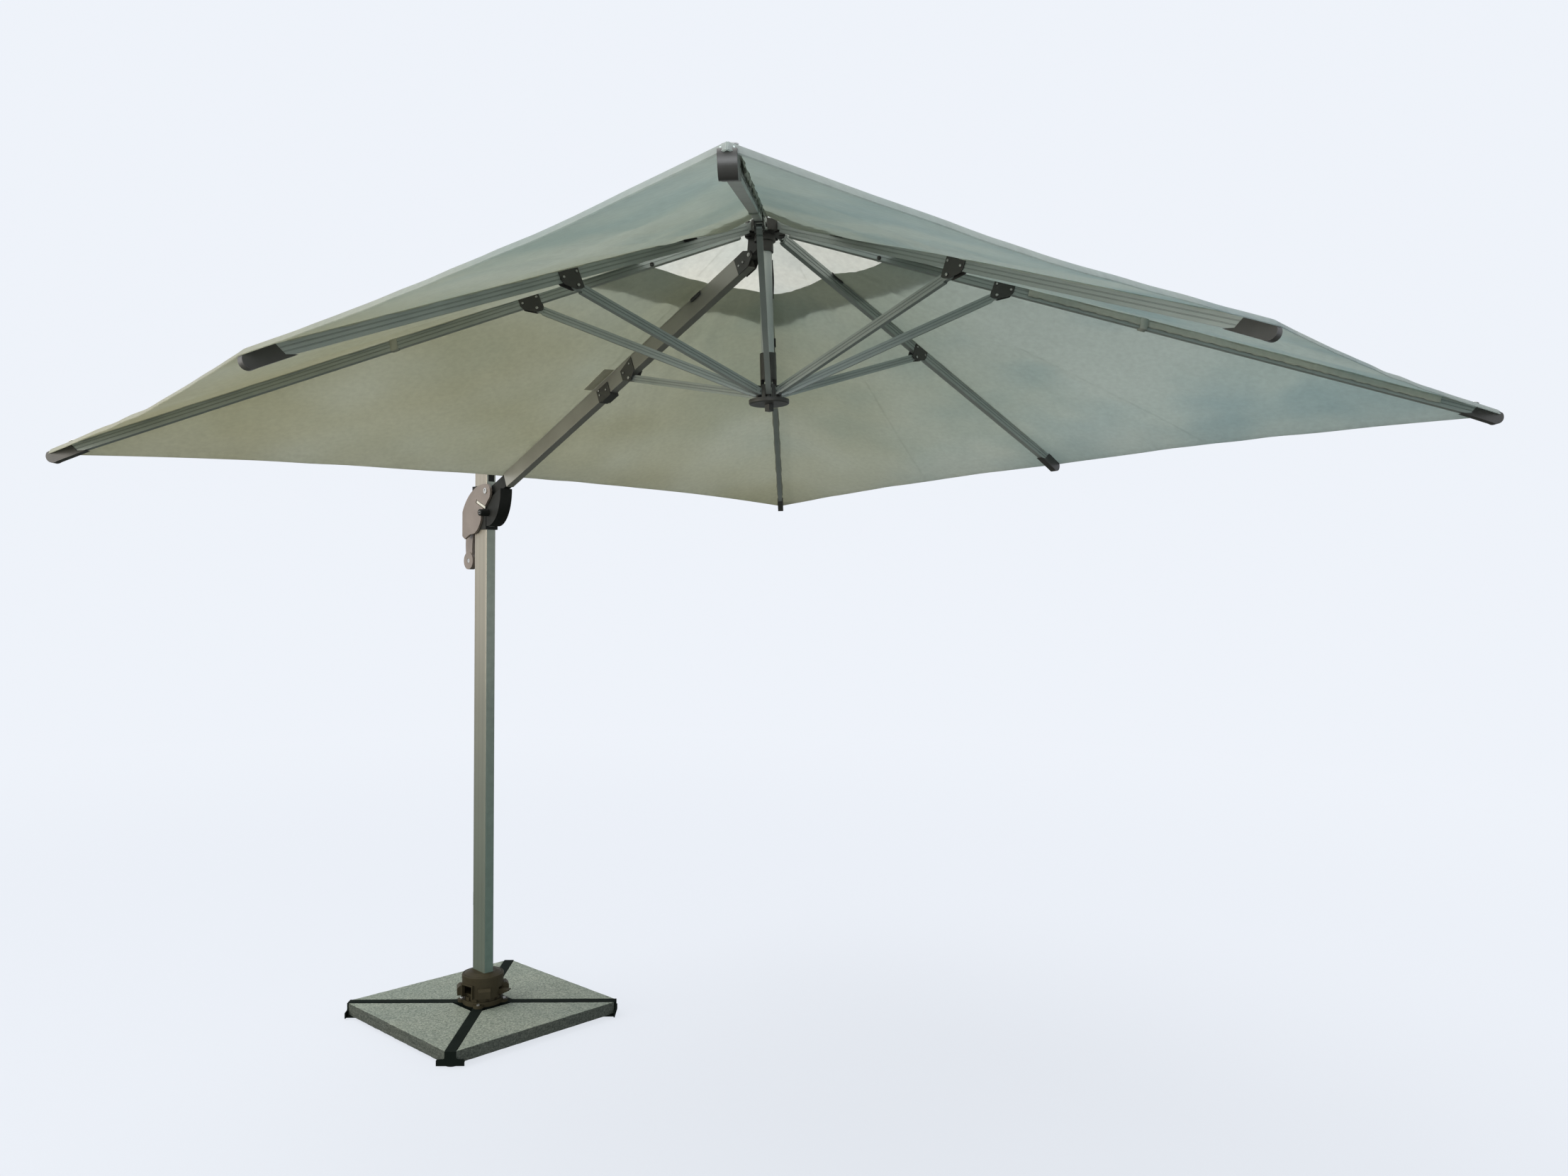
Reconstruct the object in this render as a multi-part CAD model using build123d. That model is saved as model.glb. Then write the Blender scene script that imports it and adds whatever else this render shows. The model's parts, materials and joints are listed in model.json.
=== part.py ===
from build123d import *
from math import atan2, cos, degrees, hypot, radians, sin, sqrt
import os

# Cantilever parasol with a square canopy, in millimetres.
# Origin: on the floor, on the mast axis. +X runs from the mast to the canopy hub, +Z is up.

# ---------------------------------------------------------------- base
BASE_SIDE = 750
BASE_TURN = 2.3
STONE_TOP = 55
STONE_THICK = 45
STRAP_WIDTH = 39
STRAP_THICK = 6
STONE_GAP = 0.6
STONE_APEX = 92
CLAW_THICK = 4
CLAW_FOOT = 98
FOOT_PAD = 5
FLANGE_R = 76
FLANGE_THICK = 10
LOBES = 4
LOBE_R = 20
LOBE_AT = 76
BOLT_AT = 81
BOLT_R = 7

# ---------------------------------------------------------------- turntable
SPIGOT_R = 30
RING_R = 76
RING_THICK = 20
DRUM_R = 78
DRUM_WALL = 7
DRUM_TALL = 68
LID_R = 79
LID_TALL = 14
LID_DOME = 8
TURN_GAP = 0.5
TRUNNION_R = 2.5
PEDAL_TURN = 30
WINDOW_TURN = -80
WINDOW_HALF = 27
LUG_TURNS = (-117, -27, 63, 153)
PEDAL_AXIS = (DRUM_R - 4, 102)
RUN_FIT = 0.05

# ---------------------------------------------------------------- mast
MAST_X = 88
MAST_Y = 40
MAST_WALL = 2.5
MAST_FOOT = 108
MAST_TOP = 2490
STOP_Z = 2078
STOP_SIZE = 26
CLEAT_Z = 440

# ---------------------------------------------------------------- carriage
CAR_LOW = 1880
CAR_TOP = 2049
CAR_GAP = 0.4
CAR_WALL = 6
CHEEK_THICK = 9
PIVOT_X = 60
PIVOT_Z = 2027
PIVOT_PIN_R = 8
LEVER_X = -84
LEVER_Z = 1897
LEVER_THICK = 18
DISC_X = -104
DISC_Z = 1762
DISC_R = 34
BAR_X = 24
BAR_Z = 1976
BAR_SLOPE = 23
BAR_LENGTH = 66
BAR_TALL = 9

# ---------------------------------------------------------------- boom
BOOM_RISE = 23.5
BOOM_DROP = 10
BOOM_Y = 30
BOOM_TALL = 56
BOOM_WALL = 2
BOOM_FROM = 112
PLATE = 2.5
SECTOR_R = 134
SECTOR_X = 92
SECTOR_Y = 50
NECK_Y = 28
CRANK_X = 62
CRANK_Z = 1943
CRANK_R = 13
CRANK_END = -62

# ---------------------------------------------------------------- hub frame
HUB_X = 1570
HUB_Z = 2714
TILT = 2.5
HUB_R = 60
HUB_HIGH = 20
HUB_LOW = -14
PIN_AT = 54
PIN_UP = 6
PIN_R = 3
BOOM_PIN_AT = 53
BOOM_PIN_DOWN = -61

# ---------------------------------------------------------------- ribs and struts
RIB_Y = 18
RIB_TALL = 30
RIB_WALL = 1.4
RIB_START = 27
TONGUE_Y = 12
CORNER_SLOPE = 16.4
CORNER_LENGTH = 2155
CORNER_BOLT = (657, -34)
DRIVE_BOLT = (664.3, -57.8)
MID_SLOPE = 22.0
MID_LENGTH = 1560
MID_BOLT = (683, -36)
BOOM_BOLT = (652.5, -38)
STRUT_Y = 15
STRUT_TALL = 24
STRUT_END_R = 10
GROOVE = 0.9
GROOVE_HALF = 1.5
CAP_LENGTH = 120

# ---------------------------------------------------------------- runner
FOOT_AT = 40
FOOT_Z = -480
RUNNER_R = 38.5
RUNNER_FLANGE_R = 59.5
TUBE_R = 19
SLEEVE_R = 24
FOOT_SLOT_Y = 18
TALL_SLOT = 37
TUBE_SEAT = 42

# ---------------------------------------------------------------- canopy
CLOTH = 2.5
APEX_Z = 40
CORNER_TIP = (1511, -588)
MID_TIP = (1511, -563)
EDGE_SAG = 38
VENT = 280
COWL = 420
COWL_APEX = 76
COWL_CORNER_Z = -121
COWL_MID_Z = -117

# compass names: east is away from the mast, north is +Y
RIBS = {
    "e": 0,
    "ne": 45,
    "n": 90,
    "nw": 135,
    "sw": 225,
    "s": 270,
    "se": 315,
}

HUB_PLANE = Plane(
    origin=(HUB_X, 0, HUB_Z),
    x_dir=(cos(radians(TILT)), 0, sin(radians(TILT))),
    z_dir=(-sin(radians(TILT)), 0, cos(radians(TILT))),
)
BOOM_PLANE = Plane(
    origin=(PIVOT_X, 0, PIVOT_Z),
    x_dir=(cos(radians(BOOM_RISE)), 0, sin(radians(BOOM_RISE))),
    z_dir=(-sin(radians(BOOM_RISE)), 0, cos(radians(BOOM_RISE))),
)


def slab(x0, x1, y0, y1, z0, z1):
    """Box between two corners."""
    return Pos((x0 + x1) / 2, (y0 + y1) / 2, (z0 + z1) / 2) * Box(x1 - x0, y1 - y0, z1 - z0)


def disc(radius, z0, z1, x=0, y=0):
    """Upright cylinder between two heights."""
    return Pos(x, y, (z0 + z1) / 2) * Cylinder(radius, z1 - z0)


def bar_y(radius, x, z, y0, y1):
    """Cylinder that lies along Y."""
    return Pos(x, (y0 + y1) / 2, z) * Rot(90, 0, 0) * Cylinder(radius, y1 - y0)


def side_plate(wire_points, y0, y1):
    """Flat plate in the XZ plane from a polygon of (x, z) points."""
    face = make_face(Polyline(*[(x, y0, z) for x, z in wire_points], close=True))
    return extrude(face, amount=y1 - y0, dir=(0, 1, 0))


def both_sides(shape):
    """A piece and its mirror image across the XZ plane."""
    return Compound(children=[shape, mirror(shape, about=Plane.XZ)])


def around(shape, count, start=0):
    """Copies of a piece spaced evenly about the Z axis."""
    return [Rot(0, 0, start + 360 * i / count) * shape for i in range(count)]


def grooved_tube(length, wide, tall, wall):
    """Hollow rectangular profile along +X with two shallow grooves on each side face."""
    tube = slab(0, length, -wide / 2, wide / 2, -tall / 2, tall / 2)
    tube -= slab(-1, length + 1, wall - wide / 2, wide / 2 - wall, wall - tall / 2, tall / 2 - wall)
    for side in (-1, 1):
        for level in (-tall / 6, tall / 6):
            outer = side * wide / 2
            inner = outer - side * GROOVE
            tube -= slab(-1, length + 1, min(outer, inner), max(outer, inner), level - GROOVE_HALF,
                         level + GROOVE_HALF)
    return tube


# ================================================================ base
def stone():
    half = BASE_SIDE / 2
    reach = (STRAP_WIDTH / 2 + STONE_GAP) * sqrt(2)
    outline = [
        (half, reach - half),
        (half, half - reach),
        (STONE_APEX, STONE_APEX - reach),
        (STONE_APEX, reach - STONE_APEX),
    ]
    face = make_face(Polyline(*outline, close=True))
    block = Pos(0, 0, STONE_TOP - STONE_THICK) * extrude(face, amount=STONE_THICK)
    return chamfer(block.faces().sort_by(Axis.Z)[-1].edges(), 2)


def base_stones():
    return Compound(children=around(stone(), 4, BASE_TURN))


def arm_reach():
    """Length of an arm of the cross: it ends just past the tips of the two stones beside it."""
    return BASE_SIDE / sqrt(2) - STRAP_WIDTH / 2 - STONE_GAP + 0.5


def cross_arm():
    """One arm of the cross, along +X: channel, bottom flange and a claw bent down at its end."""
    reach = arm_reach()
    low = STONE_TOP - STONE_THICK
    arm = slab(0, reach, -STRAP_WIDTH / 2, STRAP_WIDTH / 2, low, STONE_TOP)
    arm -= slab(60, reach + 1, STRAP_THICK - STRAP_WIDTH / 2, STRAP_WIDTH / 2 - STRAP_THICK, low - 1,
                STONE_TOP - STRAP_THICK)
    arm += slab(0, reach, -42, 42, low - 4, low)
    claw = side_claw()
    arm += Pos(reach, 0, 0) * claw
    return arm


def side_claw():
    """T-shaped end plate: as wide as the strap on top, with a wide foot."""
    half = STRAP_WIDTH / 2
    foot = CLAW_FOOT / 2
    right = [
        (half, STONE_TOP),
        (half, 34),
        (half + 2, 30),
        (half + 6, 28),
        (foot - 3, 27),
        (foot, 24),
        (foot, FOOT_PAD),
    ]
    outline = right + [(-y, z) for y, z in reversed(right)]
    face = make_face(Polyline(*[(0, y, z) for y, z in outline], close=True))
    return extrude(face, amount=CLAW_THICK, dir=(1, 0, 0))


def base_cross():
    arms = around(cross_arm(), 4, 45 + BASE_TURN)
    cross = arms[0] + arms[1] + arms[2] + arms[3]
    cross += disc(70, FOOT_PAD, STONE_TOP)
    for hole in around(disc(BOLT_R / 2, STONE_TOP - 14, STONE_TOP + 1, BOLT_AT), LOBES, 45 + BASE_TURN):
        cross -= hole
    return cross


def base_feet():
    pads = around(disc(24, 0, FOOT_PAD, arm_reach() - 26), 4, 45 + BASE_TURN)
    pads.append(disc(45, 0, FOOT_PAD))
    return Compound(children=pads)


def base_flange():
    low = STONE_TOP
    high = low + FLANGE_THICK
    flange = disc(FLANGE_R, low, high)
    for lobe in around(disc(LOBE_R, low, high, LOBE_AT), LOBES, 45 + BASE_TURN):
        flange += lobe
    flange += disc(SPIGOT_R, low, high + RING_THICK + 12)
    for hole in around(disc(BOLT_R / 2, low - 1, high + 1, BOLT_AT), LOBES, 45 + BASE_TURN):
        flange -= hole
    return flange


def base_bolts():
    high = STONE_TOP + FLANGE_THICK
    bolt = disc(BOLT_R, high, high + 4.5, BOLT_AT) - disc(2.5, high + 2.5, high + 5, BOLT_AT)
    return Compound(children=around(bolt, LOBES, 45 + BASE_TURN))


def turntable_ring():
    low = STONE_TOP + FLANGE_THICK
    high = low + RING_THICK
    ring = disc(RING_R, low, high) - disc(SPIGOT_R, low - 1, high + 1)
    ring -= disc(RING_R + 1, low + 8, high + 1) - disc(RING_R - 8, low + 7, high + 2)
    for notch in around(slab(RING_R - 14, RING_R + 2, -6, 6, low + 8, high + 1), 12, 15):
        ring -= notch
    for bolt in around(disc(BOLT_R + 1, low - 1, high + 1, BOLT_AT), LOBES, 45 + BASE_TURN):
        ring -= bolt
    return ring


# ================================================================ mast body
def drum_lug():
    """Thick tab on the side of the drum, with a sloped upper edge."""
    low = STONE_TOP + FLANGE_THICK + RING_THICK + TURN_GAP
    lug = slab(DRUM_R - 6, DRUM_R + 19, -23, 23, low + 6, low + 42)
    outer = lug.faces().sort_by(Axis.X)[-1]
    lug = chamfer(outer.edges().sort_by(Axis.Z)[-1], 9)
    return lug - disc(DRUM_R - 3, low, low + DRUM_TALL)


def turntable_drum():
    low = STONE_TOP + FLANGE_THICK + RING_THICK + TURN_GAP
    high = low + DRUM_TALL
    drum = disc(DRUM_R, low, high)
    drum -= disc(DRUM_R - DRUM_WALL, low + 10, high - 12)
    drum -= disc(SPIGOT_R + RUN_FIT, low - 1, low + 11)
    drum -= slab(-MAST_X / 2, MAST_X / 2, -MAST_Y / 2, MAST_Y / 2, high - 13, high + 1)
    for turn in LUG_TURNS:
        drum += Rot(0, 0, turn) * drum_lug()
    frame = slab(DRUM_R - 12, DRUM_R + 2, -WINDOW_HALF - 5, WINDOW_HALF + 5, low, low + 53)
    drum += Rot(0, 0, WINDOW_TURN) * (frame - disc(DRUM_R - 3, low, high))
    window = slab(DRUM_R - 20, DRUM_R + 20, -WINDOW_HALF, WINDOW_HALF, low - 1, low + 47)
    drum -= Rot(0, 0, WINDOW_TURN) * window
    mouth = slab(DRUM_R - 16, DRUM_R + 20, -14.5, 14.5, low + 2, low + 34)
    mouth += bar_y(TRUNNION_R + RUN_FIT, *PEDAL_AXIS, -19.5, 19.5)
    return drum - Rot(0, 0, PEDAL_TURN) * mouth


def turntable_lid():
    """Domed lid with a groove round its top."""
    low = STONE_TOP + FLANGE_THICK + RING_THICK + TURN_GAP + DRUM_TALL
    high = low + LID_TALL
    lid = disc(LID_R, low, high)
    lid = fillet(lid.faces().sort_by(Axis.Z)[-1].edges(), 4)
    lid += Pos(0, 0, high + LID_DOME / 2) * Cone(LID_R - 8, 50, LID_DOME)
    lid -= disc(LID_R - 6, high - 1.5, high + 1) - disc(LID_R - 8, high - 2, high + 2)
    lid -= slab(-MAST_X / 2, MAST_X / 2, -MAST_Y / 2, MAST_Y / 2, low - 1, high + LID_DOME + 1)
    return lid


def mast_tube():
    outer = slab(-MAST_X / 2, MAST_X / 2, -MAST_Y / 2, MAST_Y / 2, MAST_FOOT, MAST_TOP)
    outer = fillet(outer.edges().filter_by(Axis.Z), 4)
    inner_x = MAST_X / 2 - MAST_WALL
    inner_y = MAST_Y / 2 - MAST_WALL
    tube = outer - slab(-inner_x, inner_x, -inner_y, inner_y, MAST_FOOT - 1, MAST_TOP + 1)
    half = STOP_SIZE / 2
    tube -= slab(inner_x - 1, MAST_X / 2 + 1, -half, half, STOP_Z - half, STOP_Z + half)
    return tube


def mast_plug():
    """Square plug let into the front wall, flush with it."""
    half = STOP_SIZE / 2
    inner_x = MAST_X / 2 - MAST_WALL
    plug = slab(inner_x, MAST_X / 2 - 0.2, -half, half, STOP_Z - half, STOP_Z + half)
    plug += slab(inner_x - 8, inner_x, 2 - half, half - 2, STOP_Z - half + 2, STOP_Z + half - 2)
    plug -= slab(inner_x + 0.8, MAST_X / 2 + 1, 6 - half, half - 6, STOP_Z - half + 6, STOP_Z + half - 6)
    return plug


def mast_cap():
    top = slab(-MAST_X / 2 - 2, MAST_X / 2 + 2, -MAST_Y / 2 - 2, MAST_Y / 2 + 2, MAST_TOP, MAST_TOP + 14)
    top = fillet(top.faces().sort_by(Axis.Z)[-1].edges(), 6)
    in_x = MAST_X / 2 - MAST_WALL - 0.2
    in_y = MAST_Y / 2 - MAST_WALL - 0.2
    return top + slab(-in_x, in_x, -in_y, in_y, MAST_TOP - 18, MAST_TOP)


def mast_cleat():
    """Cord hook on the back of the mast."""
    back = -MAST_X / 2
    plate = slab(back - 3, back, -9, 9, CLEAT_Z - 24, CLEAT_Z + 24)
    stem = slab(back - 16, back - 2, -6, 6, CLEAT_Z - 7, CLEAT_Z + 7)
    horns = slab(back - 22, back - 14, -6, 6, CLEAT_Z - 27, CLEAT_Z + 27)
    return plate + stem + fillet(horns.edges().filter_by(Axis.Y), 3)


def mast_fittings():
    return Compound(children=[mast_plug(), mast_cleat()])


def foot_pedal():
    """Wedge that releases the turntable, hinged inside the drum opening."""
    low = STONE_TOP + FLANGE_THICK + RING_THICK + TURN_GAP
    outline = [
        (DRUM_R - 13, low + 8),
        (DRUM_R + 6, low + 7),
        (DRUM_R + 34, low + 20),
        (DRUM_R + 36, low + 25),
        (DRUM_R + 6, low + 27),
        (DRUM_R - 13, low + 24),
    ]
    wedge = side_plate(outline, -14, 14)
    wedge += bar_y(TRUNNION_R, *PEDAL_AXIS, -19, 19)
    return Rot(0, 0, PEDAL_TURN) * wedge


# ================================================================ carriage
def carriage_core():
    """C-shaped slider round the mast, open at the front between two lips."""
    in_x = MAST_X / 2 + CAR_GAP
    in_y = MAST_Y / 2 + CAR_GAP
    out_y = in_y + CAR_WALL - CAR_GAP
    core = slab(-in_x - 8, in_x + 4, -out_y, out_y, CAR_LOW, CAR_TOP)
    core -= slab(-in_x, in_x, -in_y, in_y, CAR_LOW - 1, CAR_TOP + 1)
    core -= slab(in_x - 1, in_x + 5, -16, 16, CAR_LOW + 12, CAR_TOP + 1)
    lug = slab(LEVER_X - 10, -in_x - 7, -out_y, -LEVER_THICK / 2 - 0.5, LEVER_Z - 14, LEVER_Z + 24)
    core += lug
    core += mirror(lug, about=Plane.XZ)
    core -= bar_y(4, LEVER_X, LEVER_Z, -30, 30)
    return core


def cheek():
    """Quarter-round side shell of the carriage, on the -Y side."""
    y0 = -(MAST_Y / 2 + CAR_WALL + CHEEK_THICK)
    y1 = -(MAST_Y / 2 + CAR_WALL)
    pivot_r = 32
    edge = [
        ThreePointArc((PIVOT_X + 14, y0, 2052), (-52, y0, 2022), (-112, y0, 1952)),
        Polyline((-112, y0, 1952), (-112, y0, 1858), (-94, y0, 1846), (-58, y0, 1862), (-22, y0, 1866)),
        ThreePointArc((-22, y0, 1866), (12, y0, 1892), (27, y0, 1921)),
        Polyline((27, y0, 1921), (27, y0, 1952), (PIVOT_X - 10, y0, 1964), (PIVOT_X + 6, y0, 1978),
                 (PIVOT_X + pivot_r - 4, y0, 2000)),
        ThreePointArc((PIVOT_X + pivot_r - 4, y0, 2000), (PIVOT_X + pivot_r, y0, 2030),
                      (PIVOT_X + 14, y0, 2052)),
    ]
    plate = extrude(make_face(edge), amount=y1 - y0, dir=(0, 1, 0))
    plate -= bar_y(PIVOT_PIN_R + RUN_FIT, PIVOT_X, PIVOT_Z, y0 - 1, y1 + 1)
    slot = Pos(BAR_X, (y0 + y1) / 2, BAR_Z) * Rot(0, BAR_SLOPE, 0) * Box(BAR_LENGTH + 6, 20, BAR_TALL + 5)
    return plate - (slot & slab(-40, 60, y0 - 1, y1 - 4, 1900, 2040))


def carriage_cheeks():
    return both_sides(cheek())


def tilt_pin():
    """Tilt pin with a ring-shaped head on each side."""
    reach = MAST_Y / 2 + CAR_WALL + CHEEK_THICK
    pin = bar_y(PIVOT_PIN_R, PIVOT_X, PIVOT_Z, -reach - 1, reach + 1)
    for side in (-1, 1):
        inner = side * reach
        outer = side * (reach + 3)
        pin += bar_y(11, PIVOT_X, PIVOT_Z, min(inner, outer), max(inner, outer))
        lip = side * (reach + 1.2)
        pin -= bar_y(6, PIVOT_X, PIVOT_Z, min(lip, outer + side), max(lip, outer + side))
    return pin


def carriage_bar():
    """Pale release bar that lies in the slot of the near cheek."""
    y0 = -(MAST_Y / 2 + CAR_WALL + CHEEK_THICK)
    return Pos(BAR_X, y0 + 3.2, BAR_Z) * Rot(0, BAR_SLOPE, 0) * Box(BAR_LENGTH, 3.6, BAR_TALL)


def carriage_pins():
    return Compound(children=[tilt_pin(), bar_y(4, LEVER_X, LEVER_Z, -26, 26)])


def grip_lever():
    """S-curved grip behind the mast, with a round knob at its lower end."""
    half = LEVER_THICK / 2
    inner = [
        Polyline((LEVER_X - 14, -half, LEVER_Z + 40), (LEVER_X + 4, -half, LEVER_Z + 30),
                 (LEVER_X + 14, -half, LEVER_Z + 12), (LEVER_X + 14, -half, LEVER_Z - 20)),
        ThreePointArc((LEVER_X + 14, -half, LEVER_Z - 20), (LEVER_X + 5, -half, LEVER_Z - 62),
                      (DISC_X + 22, -half, DISC_Z + 22)),
        Line((DISC_X + 22, -half, DISC_Z + 22), (DISC_X, -half, DISC_Z)),
    ]
    outer = [
        Line((DISC_X, -half, DISC_Z), (DISC_X - 24, -half, DISC_Z + 22)),
        ThreePointArc((DISC_X - 24, -half, DISC_Z + 22), (LEVER_X - 47, -half, LEVER_Z - 60),
                      (LEVER_X - 36, -half, LEVER_Z + 10)),
        Polyline((LEVER_X - 36, -half, LEVER_Z + 10), (LEVER_X - 28, -half, LEVER_Z + 36),
                 (LEVER_X - 14, -half, LEVER_Z + 40)),
    ]
    edge = inner + outer
    lever = extrude(make_face(edge), amount=LEVER_THICK, dir=(0, 1, 0))
    lever += bar_y(DISC_R, DISC_X, DISC_Z, -half - 4, half)
    lever -= bar_y(4 + RUN_FIT, LEVER_X, LEVER_Z, -20, 20)
    lever -= bar_y(9, DISC_X, DISC_Z, -half - 5, -half - 1)
    return lever


def lever_screw():
    half = LEVER_THICK / 2
    screw = bar_y(8, DISC_X, DISC_Z, -half - 3.4, -half - 1)
    return screw - bar_y(3, DISC_X, DISC_Z, -half - 4, -half - 2.2)


# ================================================================ boom
def on_boom(shape):
    return BOOM_PLANE.location * shape


def boom_reach():
    """Distance along the boom from the tilt pin to the hub pin."""
    pin = HUB_PLANE.from_local_coords((-BOOM_PIN_AT, 0, BOOM_PIN_DOWN))
    local = BOOM_PLANE.to_local_coords(pin)
    return local.X, local.Z


REACH, REACH_UP = boom_reach()


def boom_root():
    """Neck into the boom tube, and the sector that holds the winch and the tilt notches."""
    inside = BOOM_TALL / 2 - BOOM_WALL
    neck = slab(0, BOOM_FROM, -NECK_Y / 2, NECK_Y / 2, -BOOM_DROP - 23, -BOOM_DROP + 23)
    neck += slab(BOOM_FROM - 1, BOOM_FROM + 70, BOOM_WALL - BOOM_Y / 2, BOOM_Y / 2 - BOOM_WALL,
                 -BOOM_DROP - inside, -BOOM_DROP + inside)
    neck -= slab(-1, 16, -30, 30, -40, 40) - bar_y(15, 0, 0, -30, 30)
    neck += bar_y(14.5, 0, 0, -NECK_Y / 2, NECK_Y / 2)
    root = on_boom(neck)
    wide = SECTOR_Y / 2
    sector = Pos(PIVOT_X, 0, PIVOT_Z) * Rot(90, 0, 0) * extrude(Ellipse(SECTOR_X, SECTOR_R), wide, both=True)
    sector &= slab(PIVOT_X - 12, PIVOT_X + 200, -wide, wide, PIVOT_Z - 200, PIVOT_Z + 20)
    core = sector & slab(0, 400, -NECK_Y / 2, NECK_Y / 2, PIVOT_Z - 200, PIVOT_Z - 12)
    sector &= on_boom(slab(-200, 200, -wide, wide, -250, -BOOM_DROP - 22))
    sector += core
    sector -= slab(0, 51, -40, -15, 1800, 2100)
    sector -= slab(0, 51, 15, 40, 1800, 2100)
    root += sector
    root -= bar_y(34, PIVOT_X, PIVOT_Z, -40, -NECK_Y / 2)
    root -= bar_y(34, PIVOT_X, PIVOT_Z, NECK_Y / 2, 40)
    root -= slab(0, MAST_X / 2 + 1.2, -40, 40, 1800, 2100)
    root -= bar_y(PIVOT_PIN_R + RUN_FIT, PIVOT_X, PIVOT_Z, -40, 40)
    root -= bar_y(8 + RUN_FIT, CRANK_X, CRANK_Z, -40, 40)
    return root


def boom_tube():
    length = REACH - 18 - BOOM_FROM
    outer = slab(0, length, -BOOM_Y / 2, BOOM_Y / 2, -BOOM_TALL / 2, BOOM_TALL / 2)
    outer = fillet(outer.edges().filter_by(Axis.X), 2)
    in_y = BOOM_Y / 2 - BOOM_WALL
    in_z = BOOM_TALL / 2 - BOOM_WALL
    tube = outer - slab(-1, length + 1, -in_y, in_y, -in_z, in_z)
    return on_boom(Pos(BOOM_FROM, 0, -BOOM_DROP) * tube)


def boom_end():
    """Pair of plates that carry the hub pin at the upper end of the boom."""
    y0 = BOOM_Y / 2
    outline = [
        (REACH - 62, -BOOM_DROP - 30),
        (REACH - 62, -BOOM_DROP + 24),
        (REACH - 20, -BOOM_DROP + 26),
        (REACH + 10, REACH_UP + 9),
        (REACH + 11, REACH_UP - 9),
        (REACH - 18, -BOOM_DROP - 30),
    ]
    plate = side_plate(outline, y0, y0 + PLATE)
    for screw_x in (REACH - 50, REACH - 30):
        plate += bar_y(4, screw_x, -BOOM_DROP - 6, y0 + PLATE, y0 + PLATE + 1.2)
    plate -= bar_y(4 + RUN_FIT, REACH, REACH_UP, 0, 30)
    plates = both_sides(plate)
    return on_boom(plates)


def boom_pin():
    reach = BOOM_Y / 2 + PLATE
    pin = bar_y(4, REACH, REACH_UP, -reach, reach)
    pin += bar_y(6, REACH, REACH_UP, -reach - 1.5, -reach)
    pin += bar_y(6, REACH, REACH_UP, reach, reach + 1.5)
    return on_boom(pin)


def boom_bolt_local():
    """Strut bolt on the boom, in the boom's own plane."""
    return REACH - BOOM_BOLT[0], -BOOM_DROP + BOOM_BOLT[1]


def boom_bracket():
    x, z = boom_bolt_local()
    y0 = BOOM_Y / 2
    outline = [
        (x - 34, -BOOM_DROP - 28),
        (x - 34, -BOOM_DROP + 6),
        (x + 34, -BOOM_DROP + 22),
        (x + 34, -BOOM_DROP - 28),
        (x + 12, z - 4),
        (x + 6, z - 10),
        (x - 6, z - 10),
        (x - 12, z - 4),
    ]
    plate = side_plate(outline, y0, y0 + PLATE)
    for at, up in ((-20, -8), (20, 4)):
        plate += bar_y(4, x + at, -BOOM_DROP + up, y0 + PLATE, y0 + PLATE + 1.6)
    plate += bar_y(6, x, z, y0 + PLATE, y0 + PLATE + 2.4)
    spacer = bar_y(6.5, x, z, STRUT_Y / 2 + 0.4, y0)
    plate += spacer
    bracket = plate + mirror(plate, about=Plane.XZ) + bar_y(PIN_R, x, z, -y0, y0)
    return on_boom(bracket)


def boom_sleeve():
    """U-shaped clamp below the strut bracket, with three screws a side."""
    mid = 790
    half = 34
    y0 = BOOM_Y / 2
    low = -BOOM_DROP - BOOM_TALL / 2
    clamp = slab(mid - half, mid + half, -y0 - PLATE, y0 + PLATE, low - 9, -BOOM_DROP + 12)
    clamp -= slab(mid - half - 1, mid + half + 1, -y0, y0, low, 60)
    clamp -= slab(mid - half - 1, mid - half + 14, -30, 30, low - 10, low - 4)
    for at, up in ((-20, -10), (18, -10), (-20, 6)):
        for side in (-1, 1):
            inner = side * (y0 + PLATE)
            outer = side * (y0 + PLATE + 1.6)
            clamp += bar_y(4, mid + at, -BOOM_DROP + up, min(inner, outer), max(inner, outer))
    return on_boom(clamp)


def crank_socket():
    """Stub that takes the winding handle, with a square socket in its end."""
    x = CRANK_X
    face_y = -SECTOR_Y / 2 - 0.5
    stub = bar_y(CRANK_R, x, CRANK_Z, CRANK_END, face_y)
    stub = fillet(stub.edges().filter_by(GeomType.CIRCLE).sort_by(Axis.Y)[0], 2)
    stub += bar_y(8, x, CRANK_Z, face_y, 20)
    return stub - slab(x - 5, x + 5, CRANK_END - 1, CRANK_END + 26, CRANK_Z - 5, CRANK_Z + 5)


# ================================================================ hub
def on_hub(shape, azimuth=0):
    return HUB_PLANE.location * (Rot(0, 0, azimuth) * shape)


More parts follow.
